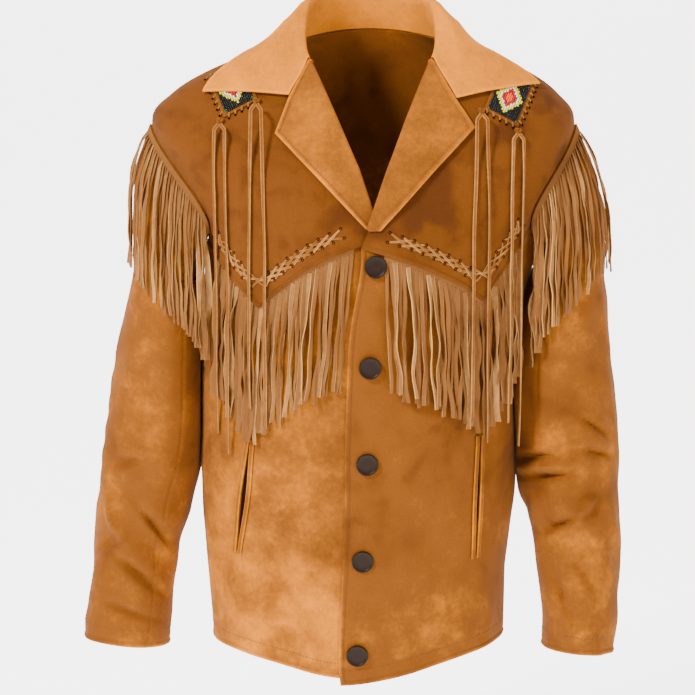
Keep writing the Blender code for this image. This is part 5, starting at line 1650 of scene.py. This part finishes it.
def lacing_rows(side, tree):
    """Points and outward directions of the holes, a row on each side of a line above the yoke's edge."""
    edge = spread(body(yoke_edge(side, 40))[:, [0, 2]], 400, smooth=False)
    run = run_along(edge)
    start = LACING_STARTS[side]
    length = run[-1] - start - LACING_END
    places = start + length * np.linspace(0.02, 0.98, int(length / LACING_PITCH) + 2)
    at, before, after = (at_run(places + shift, run, edge) for shift in (0, -9, 9))
    ahead = unit(after - before)
    square = np.stack([-ahead[:, 1], ahead[:, 0]], -1)
    square = np.where(square[:, 1:] > 0, square, -square)
    line = at + [0, LACING_RISE]
    return [cloth_front(line + square * hand * LACING_HALF_BAND, tree) for hand in (1, -1)]


class JACKET_OT_lacing(bpy.types.Operator):
    """Cross the laces through the punched holes above each yoke's edge"""

    bl_idname = "jacket.lacing"
    bl_label = "Yoke Lacing"

    def execute(self, context):
        deselect()
        trim = trim_settings()
        width, thick = trim.lace_width / MM, trim.lace_thick / MM
        for side in (LEFT, RIGHT):
            name = SIDE_NAME[side]
            chance = np.random.default_rng(61 + side)
            (upper, upper_out), (lower, lower_out) = lacing_rows(side, chest_tree(side))
            laces = {"under": Ribbons(), "over": Ribbons()}
            for k in range(len(upper) - 1):
                after = min(k + 2, len(upper) - 1)
                out = unit(upper_out[k] + lower_out[after])
                ends = ((lower[k], upper[after]), (upper[k], lower[after]))
                for ribbons, (a, b), height in zip(laces.values(), ends, LACING_HEIGHTS):
                    drawn = unit(b - a) * 1.1
                    height, tone = height * chance.uniform(0.9, 1.15), chance.uniform(0.0, 0.5)
                    crossing_lace(ribbons, a + drawn, b - drawn, out, height, width, thick, tone, 9)
            for layer, ribbons in laces.items():
                piece = ribbons.build(f"lacing_{name}_{layer}_suede", finishes()["lace"])
                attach(piece, "root")
                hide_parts(f"yoke_lacing_{name}_{layer}")
            points, faces = [], []
            for hole, out in zip(np.vstack([upper, lower]), np.vstack([upper_out, lower_out])):
                punched_hole(points, faces, hole + out * 0.1, out, trim.lace_hole / MM)
            holes = new_mesh_object(f"lacing_holes_{name}", points, faces, finishes()["hole"])
            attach(holes, "root")
        return {"FINISHED"}


class JACKET_OT_pockets(bpy.types.Operator):
    """Sew the slanting welts of the two side pockets"""

    bl_idname = "jacket.pockets"
    bl_label = "Pocket Welts"

    def execute(self, context):
        deselect()
        share = np.linspace(0, 1, 41)
        for side in (LEFT, RIGHT):
            word = SIDE_NAME[side]
            tree = tree_of([f"front_{word}_suede"])
            top, foot = np.array(POCKET_TOP[side]), np.array(POCKET_FOOT[side])
            middle = top + (foot - top) * share[:, None]
            gape = LEAST_GAPE + POCKET_GAPE[side] * np.sin(math.pi * share) ** 2
            for lip, hand in (("outer", side), ("inner", -side)):
                ribbons = Ribbons()
                aside = hand * (LIP_WIDTH / 2 + gape / 2)
                points, normals = cloth_front(middle + np.outer(aside, (1, 0)), tree)
                line = points + normals * LIP_LIFT
                ribbons.add(line, *lying_on(line, normals), LIP_WIDTH, LIP_THICK, LIP_TONE, round_it=0.5)
                name = f"pocket_lip_{word}_{lip}"
                piece = ribbons.build(f"{name}_suede", finishes()["suede"])
                finish_sheet(piece, name)
            # A near-black strip laid in the pocket's opening: painted shade of the pocket's inside
            ribbons = Ribbons()
            points, normals = cloth_front(middle, tree)
            line, normals = (points + normals * SLIT_THICK)[1:-1], normals[1:-1]
            across, rise = lying_on(line, normals)
            ribbons.add(line, across, -rise, gape[1:-1] + SLIT_OVERLAP, SLIT_THICK)
            slit = ribbons.build(f"pocket_slit_{word}", finishes()["hole"])
            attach(slit, "root")
        return {"FINISHED"}


def patch_grid(side, tree):
    outline = [(x * side + PATCH_SHIFT[side][0], z + PATCH_SHIFT[side][1]) for x, z in PATCH_OUTLINE]
    foot, inner, top, outer = (np.array(s, float) for s in outline)
    edges = ((foot, outer), (inner, top), (foot, inner), (outer, top))
    return cloth_front(patch(*(spread(ends, PATCH_CELLS) for ends in edges)), tree)


class JACKET_OT_patches(bpy.types.Operator):
    """Sew the shoulder patches and string their beads in a stepped diamond"""

    bl_idname = "jacket.patches"
    bl_label = "Beaded Patches"

    def bead_colour(self, u, v):
        """A generic stepped diamond on a black ground, by shares across and up the patch."""
        ring = abs(u - 0.5) + abs(v - 0.5)
        if ring > DIAMOND[-1][0]:
            return "green"
        return next((name for reach, name in DIAMOND if ring < reach), "black")

    def make_bead(self):
        """Points and faces of one slightly flattened bead."""
        radius = trim_settings().bead / MM
        bpy.ops.mesh.primitive_uv_sphere_add(segments=8, ring_count=5, radius=radius)
        bead = bpy.context.object
        bpy.ops.object.mode_set(mode="EDIT")
        bpy.ops.mesh.select_all(action="SELECT")
        bpy.ops.transform.resize(value=(1, 1, 0.8))
        bpy.ops.object.mode_set(mode="OBJECT")
        points = np.array([v.co for v in bead.data.vertices])
        faces = [list(f.vertices) for f in bead.data.polygons]
        bpy.data.objects.remove(bead)
        return points, faces

    def set_beads(self, outer, normals):
        """Where the beads lie that the collar doesn't cover, by colour."""
        over, radius = tree_of(["collar_suede"]), trim_settings().bead / MM
        pitch = radius * 1.9
        across = int(np.linalg.norm(outer[0, -1] - outer[0, 0]) / pitch)
        up = int(np.linalg.norm(outer[-1, 0] - outer[0, 0]) / pitch)
        beads = {}
        for i in range(2, across - 1):
            for j in range(2, up - 1):
                u, v = i / across, j / up
                at = np.array([v * PATCH_CELLS]), np.array([u * PATCH_CELLS])
                out = unit(resampled(normals, *at)[0, 0])
                centre = resampled(outer, *at)[0, 0] + out * radius * 0.65
                near, facing, _, away = over.find_nearest(Vector(centre))
                covered = near is not None and (Vector(centre) - near).dot(facing) < 0 and away < 4.2
                if not covered:
                    beads.setdefault(self.bead_colour(u, v), []).append((centre, out))
        return beads

    def whip(self, name, outer, normals):
        """Laces the patch's two free edges down through a row of holes."""
        laces, points, faces = Ribbons(), [], []
        for line, outs, inwards in (
            (outer[0], normals[0], outer[1] - outer[0]),
            (outer[:, 0], normals[:, 0], outer[:, 1] - outer[:, 0]),
        ):
            run = run_along(line)
            for middle in np.arange(5.0, run[-1] - 3.0, WHIP_PITCH):
                at, after = at_run(middle, run, line), at_run(middle + WHIP_SLANT, run, line)
                out, inward = unit(at_run(middle, run, outs)), unit(at_run(middle, run, inwards))
                a, b = at - inward * 3.6 - out * 1.2, after + inward * 2.6
                crossing_lace(laces, a + unit(b - a) * 0.8, b, out, 1.0, 2.1, 0.9, 0.1)
                punched_hole(points, faces, a + out * 0.4, out, 1.1, 8)
        whip = laces.build(f"patch_lacing_{name}", finishes()["lace"])
        holes = new_mesh_object(f"patch_holes_{name}", points, faces, finishes()["hole"])
        for extra in (whip, holes):
            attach(extra, "root")

    def execute(self, context):
        deselect()
        bead_points, bead_faces = self.make_bead()
        for side in (LEFT, RIGHT):
            name, suede = SIDE_NAME[side], finishes()["suede"]
            grid, normals = patch_grid(side, chest_tree(side))
            outer, inner = grid + normals * PATCH_OUTER, grid + normals * PATCH_INNER
            inward = PATCH_INNER - PATCH_OUTER
            piece = add_cloth(
                f"shoulder_patch_{name}_suede", outer, inward, suede, "", "", PATCH_TONE, inner
            )
            finish_sheet(piece, f"shoulder_patch_{name}")
            for key, places in self.set_beads(outer, normals).items():
                points, faces = [], []
                for centre, out in places:
                    turn = Vector((0, 0, 1)).rotation_difference(Vector(out)).to_matrix()
                    faces += [[len(points) + v for v in f] for f in bead_faces]
                    points += (bead_points @ np.array(turn).T + centre).tolist()
                finish = finishes()[f"bead_{key}"]
                beadwork = new_mesh_object(f"beads_{name}_{key}", points, faces, finish, 90)
                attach(beadwork, "root")
            self.whip(name, outer, normals)
        return {"FINISHED"}


def front_line(xs, zs, trees):
    """How far forward the foremost cloth reaches in a small window round each x and z."""
    made = []
    for x, z in zip(xs, zs):
        found = [body(seen_at([x, z]))[1]]
        for across in THONG_WINDOW:
            for along in THONG_WINDOW:
                for tree in trees:
                    start = Vector((x + across, BEFORE_CLOTH, z + along))
                    hit = tree.ray_cast(start, Vector((0, 1, 0)))[0]
                    if hit and hit.y < 0:
                        found.append(hit.y)
        made.append(min(found))
    return np.array(made)


def object_tree(made):
    mesh = made.data
    points = [v.co / MM for v in mesh.vertices]
    return BVHTree.FromPolygons(points, [tuple(f.vertices) for f in mesh.polygons])


class JACKET_OT_thongs(bpy.types.Operator):
    """Tie the knots at the patches and hang their long laces"""

    bl_idname = "jacket.thongs"
    bl_label = "Knots and Hanging Laces"

    def tie(self, name, centre, out):
        """A knotted loop of lace as a closed tube."""
        side = unit(np.cross(out, [0, 0, 1.0]))
        up = np.cross(side, out)
        turns = np.linspace(0, 2 * math.pi, KNOT_STEPS + 1)[:-1]
        x = np.sin(turns) + 2 * np.sin(2 * turns)
        y = np.cos(turns) - 2 * np.cos(2 * turns)
        z = -np.sin(3 * turns)
        line = centre + np.stack([x, y, z], -1) * KNOT_SIZE @ np.array([side, up, out])
        ahead = unit(np.roll(line, -1, 0) - np.roll(line, 1, 0))
        across = unit(np.cross(ahead, out))
        rise = np.cross(across, ahead)
        points, faces, sides = [], [], KNOT_SIDES
        flat, thick = across * KNOT_TUBE[0], rise * KNOT_TUBE[1]
        for k in range(len(line)):
            a, b = k * sides, (k + 1) % len(line) * sides
            for c in range(sides):
                turn, d = 2 * math.pi * c / sides, (c + 1) % sides
                points.append(line[k] + flat[k] * math.cos(turn) + thick[k] * math.sin(turn))
                faces.append([a + c, a + d, b + d, b + c])
        points = np.array(points)
        rim, tone = np.zeros(len(points)), np.full(len(points), KNOT_TONE)
        rim[::sides] = KNOT_RIM
        finish, faces = finishes()["lace"], outward(points, faces)
        made = new_mesh_object(f"knot_{name}_lace", points, faces, finish, 80, rim=rim, tone=tone)
        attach(made, "root")
        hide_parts(f"knot_{name}")

    def hanging_line(self, knot, aside, length, over, chance, share):
        """Where one lace hangs: straight down from its knot, in front of all that it passes."""
        own = knot[0] + aside + smooth_line(share, chance, (0.8, 0.35), (0.7, 0.3))
        down = knot[2] - THONG_START * 0.6 - length * share
        forward = front_line(own, down, over)
        apart = np.abs(down[:, None] - down[None])
        forward = (forward[None] - THONG_ROOM + LACE_SLOPE * apart).min(1)
        forward[:4] += (knot[1] - forward[:4]) * [0.6, 0.35, 0.15, 0.05]
        forward = np.convolve(np.pad(forward, 3, mode="edge"), np.ones(7) / 7, "valid")
        return np.stack([own, forward, down], -1)

    def execute(self, context):
        deselect()
        trim = trim_settings()
        share = np.linspace(0, 1, 73) ** 1.3
        for side in (LEFT, RIGHT):
            word = SIDE_NAME[side]
            cloths = chest_tree(side)
            over = [cloths, tree_of(ARMS)]
            for covered in (f"fringe_front_{word}", f"fringe_sleeve_{word}", f"lacing_{word}_over"):
                over.append(object_tree(bpy.data.objects[covered + "_suede"]))
            for number, (x, z) in enumerate(KNOT_SPOTS):
                spot = np.array([[x * side, z]], float) + KNOT_SHIFT[side]
                knot, normal = cloth_front(spot, cloths)
                knot, normal = knot[0] + normal[0] * KNOT_LIFT, normal[0]
                self.tie(f"{word}_{number + 1}", knot, normal)
                for end, hand, length in zip("ab", (-1, 1), THONG_LENGTHS[side][number]):
                    chance = np.random.default_rng(71 + 10 * number + hand + 3 * side)
                    apart = 1.5 + 4.4 * ease(share * 50) + (0.6 + 2.6 * number) * ease(share * 2)
                    line = self.hanging_line(knot, hand * apart, length, over, chance, share)
                    outs = unit(body_normals(seen_at(line[:, [0, 2]])) * [1, 1, 0])
                    ahead = directions(line)
                    flat = unit(np.cross(ahead, outs))
                    twist = smooth_line(share, chance, *LACE_TWIST)[:, None]
                    across = flat * np.cos(twist) + np.cross(flat, ahead) * np.sin(twist)
                    rise, width = unit(np.cross(across, ahead)), trim.thong_width / MM
                    ribbons = Ribbons()
                    tone = chance.uniform(0.0, 0.3)
                    ribbons.add(line, across, rise, width, THONG_THICK, tone, round_it=0.5)
                    name = f"thong_{word}_{number + 1}{end}"
                    piece = ribbons.build(f"{name}_lace", finishes()["lace"])
                    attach(piece, "root")
                    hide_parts(name)
        return {"FINISHED"}


class JACKET_OT_buttons(bpy.types.Operator):
    """Turn one button from a disc and set five copies down the front"""

    bl_idname = "jacket.buttons"
    bl_label = "Buttons"

    def execute(self, context):
        deselect()
        low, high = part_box("button_3")
        radius = (high.z - low.z) / 2
        bpy.ops.mesh.primitive_cylinder_add(
            vertices=48, radius=radius, depth=BUTTON_THICK, end_fill_type="NGON"
        )
        turned = bpy.context.object
        select_parts(turned.data, "FACE", lambda face: face.normal.z > 0.9)
        for inset, rise in BUTTON_RINGS:
            bpy.ops.mesh.inset(thickness=inset)
            bpy.ops.transform.translate(value=(0, 0, rise))
        bpy.ops.mesh.select_all(action="SELECT")
        bpy.ops.mesh.normals_make_consistent(inside=False)
        bpy.ops.object.mode_set(mode="OBJECT")
        apply_bevel(turned, "turned edge", 0.0007, 3, 30)
        bpy.ops.object.shade_smooth_by_angle(angle=math.radians(40))
        normals = cloth_front(np.array(BUTTON_SPOTS, float), chest_tree(LEFT))[1]
        for number, normal in enumerate(normals, 1):
            node_low, node_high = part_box(f"button_{number}")
            copy = turned.copy()
            copy.data = turned.data.copy()
            copy.name = copy.data.name = f"button_{number}_horn"
            bpy.context.scene.collection.objects.link(copy)
            turn = Vector((0, 0, 1)).rotation_difference(Vector(normal)).to_matrix().to_4x4()
            copy.data.transform(Matrix.Translation((node_low + node_high) / 2) @ turn)
            copy.data.materials.clear()
            copy.data.materials.append(finishes()["button"])
            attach(copy, "root")
            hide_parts(f"button_{number}")
        bpy.data.objects.remove(turned)
        return {"FINISHED"}


class JACKET_OT_stitching(bpy.types.Operator):
    """Sew the rows of stitches along the turned edges, the hem and the cuffs"""

    bl_idname = "jacket.stitching"
    bl_label = "Stitching"

    def execute(self, context):
        deselect()
        edge = cloth_settings().edge_stitch / MM
        sides = SIDE_NAME.values()
        whole, tips = (0, 0), (0.45, 0.03)
        cuffs = [f"sleeve_{side}_{part}_suede" for side in sides for part in ("upper", "under")]
        rows = {
            "stitches_front": [(f"front_{side}_suede", "l", edge, whole) for side in sides],
            "stitches_hem": [
                *((name, "b", HEM_STITCH, whole) for name in TORSO),
                ("back_yoke_suede", "b", edge, whole),
            ],
            "stitches_collar": [
                ("collar_suede", "t", edge, (0.03, 0.03)),
                *(("collar_suede", letter, edge, tips) for letter in "lr"),
                *((f"lapel_{side}_suede", "t", edge, (0.02, 0.04)) for side in sides),
                *((f"lapel_{side}_suede", "r", edge, (0.55, 0.04)) for side in sides),
            ],
            "stitches_cuffs": [(name, "t", CUFF_STITCH, whole) for name in cuffs],
        }
        for name, runs in rows.items():
            points, faces = [], []
            for run in runs:
                line, outs = stitch_lines(*run)
                sew(points, faces, line, outs, cloth_settings().stitch_pitch / MM)
            stitches = new_mesh_object(name, points, faces, finishes()["thread"])
            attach(stitches, "root")
        return {"FINISHED"}


def select_parts(mesh, kind, chosen):
    """Leaves edit mode's choice of edges or faces at the ones that chosen accepts."""
    bpy.ops.object.mode_set(mode="EDIT")
    bpy.ops.mesh.select_mode(type=kind)
    bpy.ops.mesh.select_all(action="DESELECT")
    bpy.ops.object.mode_set(mode="OBJECT")
    for part in mesh.edges if kind == "EDGE" else mesh.polygons:
        part.select = chosen(part)
    bpy.ops.object.mode_set(mode="EDIT")


def apply_bevel(made, name, width, segments, angle):
    """Rounds the edges sharper than this angle in degrees."""
    bevel = made.modifiers.new(name, "BEVEL")
    bevel.width, bevel.segments = width, segments
    bevel.limit_method, bevel.angle_limit = "ANGLE", math.radians(angle)
    bpy.ops.object.modifier_apply(modifier=bevel.name)


class JACKET_OT_stage(bpy.types.Operator):
    """Set the pale floor and backdrop, the soft lights and the camera"""

    bl_idname = "jacket.stage"
    bl_label = "Stage, Lights and Camera"

    def set_backdrop(self):
        bpy.ops.mesh.primitive_plane_add(size=16, location=(0, -3.0, FLOOR_Z))
        sweep = bpy.context.object
        sweep.name = "backdrop"
        corners = sweep.data.vertices
        select_parts(sweep.data, "EDGE", lambda edge: all(corners[v].co.y > 7.9 for v in edge.vertices))
        bpy.ops.mesh.extrude_region_move(TRANSFORM_OT_translate={"value": (0, 0, 7)})
        bpy.ops.object.mode_set(mode="OBJECT")
        apply_bevel(sweep, "curve", 2.5, 24, 40)
        sweep.data.shade_smooth()
        sweep.data.transform(sweep.matrix_world)
        sweep.matrix_world = Matrix.Identity(4)
        paper = plain_material("studio_paper", (0.9, 0.9, 0.89), 0.9, vary=0.0)
        shader = paper.node_tree.nodes["Principled BSDF"].inputs
        shader["Emission Color"].default_value = (1, 1, 1, 1)
        shader["Emission Strength"].default_value = PAPER_GLOW
        sweep.data.materials.append(paper)

    def set_world(self, scene):
        """An even studio light, brighter where the camera sees it than where it falls."""
        world = scene.world or bpy.data.worlds.new("studio")
        scene.world = world
        world.use_nodes = True
        nodes, links = world.node_tree.nodes, world.node_tree.links
        shader = nodes["Background"]
        shader.inputs["Color"].default_value = (1.0, 0.99, 0.97, 1)
        seen, glow = nodes.new("ShaderNodeLightPath"), nodes.new("ShaderNodeMath")
        glow.operation = "MULTIPLY_ADD"
        glow.inputs[1].default_value, glow.inputs[2].default_value = SEEN_GLOW, WORLD_LIGHT
        links.new(seen.outputs["Is Camera Ray"], glow.inputs[0])
        links.new(glow.outputs["Value"], shader.inputs["Strength"])

    def aim(self, name, data, spot, target):
        """An object for a light or camera, placed and turned to its target."""
        made = bpy.data.objects.new(name, data)
        made.location = spot
        made.rotation_euler = (Vector(target) - made.location).to_track_quat("-Z", "Y").to_euler()
        bpy.context.scene.collection.objects.link(made)
        return made

    def execute(self, context):
        deselect()
        self.set_backdrop()
        self.set_world(context.scene)
        for name, spot, size, power in LIGHTS:
            light = bpy.data.lights.new(name, "AREA")
            light.size, light.energy = size, power
            self.aim(name, light, spot, LIGHT_TARGET)
        camera = bpy.data.cameras.new("camera")
        camera.lens = camera.sensor_width / 2 / math.tan(math.radians(CAMERA_ANGLE / 2))
        camera.clip_start, camera.clip_end = 0.05, 60
        context.scene.camera = self.aim("camera", camera, CAMERA_SPOT, CAMERA_TARGET)
        return {"FINISHED"}


OPERATORS = (
    JACKET_OT_stage,
    JACKET_OT_body,
    JACKET_OT_sleeves,
    JACKET_OT_collar,
    JACKET_OT_fringe,
    JACKET_OT_lacing,
    JACKET_OT_pockets,
    JACKET_OT_patches,
    JACKET_OT_thongs,
    JACKET_OT_buttons,
    JACKET_OT_stitching,
)


class JACKET_PT_panel(bpy.types.Panel):
    """Sizes, colours and pieces of the jacket."""

    bl_idname = "JACKET_PT_panel"
    bl_label = "Fringed Suede Jacket"
    bl_space_type = "VIEW_3D"
    bl_region_type = "UI"
    bl_category = "Jacket"

    def draw(self, context):
        for group in (context.scene.jacket_cloth, context.scene.jacket_trim, context.scene.jacket_colours):
            box = self.layout.box()
            for key in group.__annotations__:
                box.prop(group, key)
        for operator in OPERATORS:
            self.layout.operator(operator.bl_idname)


CLASSES = (JacketCloth, JacketTrim, JacketColours, *OPERATORS, JACKET_PT_panel)


def register():
    for made in CLASSES:
        bpy.utils.register_class(made)
    bpy.types.Scene.jacket_cloth = PointerProperty(type=JacketCloth)
    bpy.types.Scene.jacket_trim = PointerProperty(type=JacketTrim)
    bpy.types.Scene.jacket_colours = PointerProperty(type=JacketColours)


def unregister():
    del bpy.types.Scene.jacket_cloth, bpy.types.Scene.jacket_trim, bpy.types.Scene.jacket_colours
    for made in reversed(CLASSES):
        bpy.utils.unregister_class(made)


def main():
    register()
    for operator in OPERATORS:
        getattr(bpy.ops.jacket, operator.bl_idname.split(".")[1])()


if __name__ == "__main__":
    main()
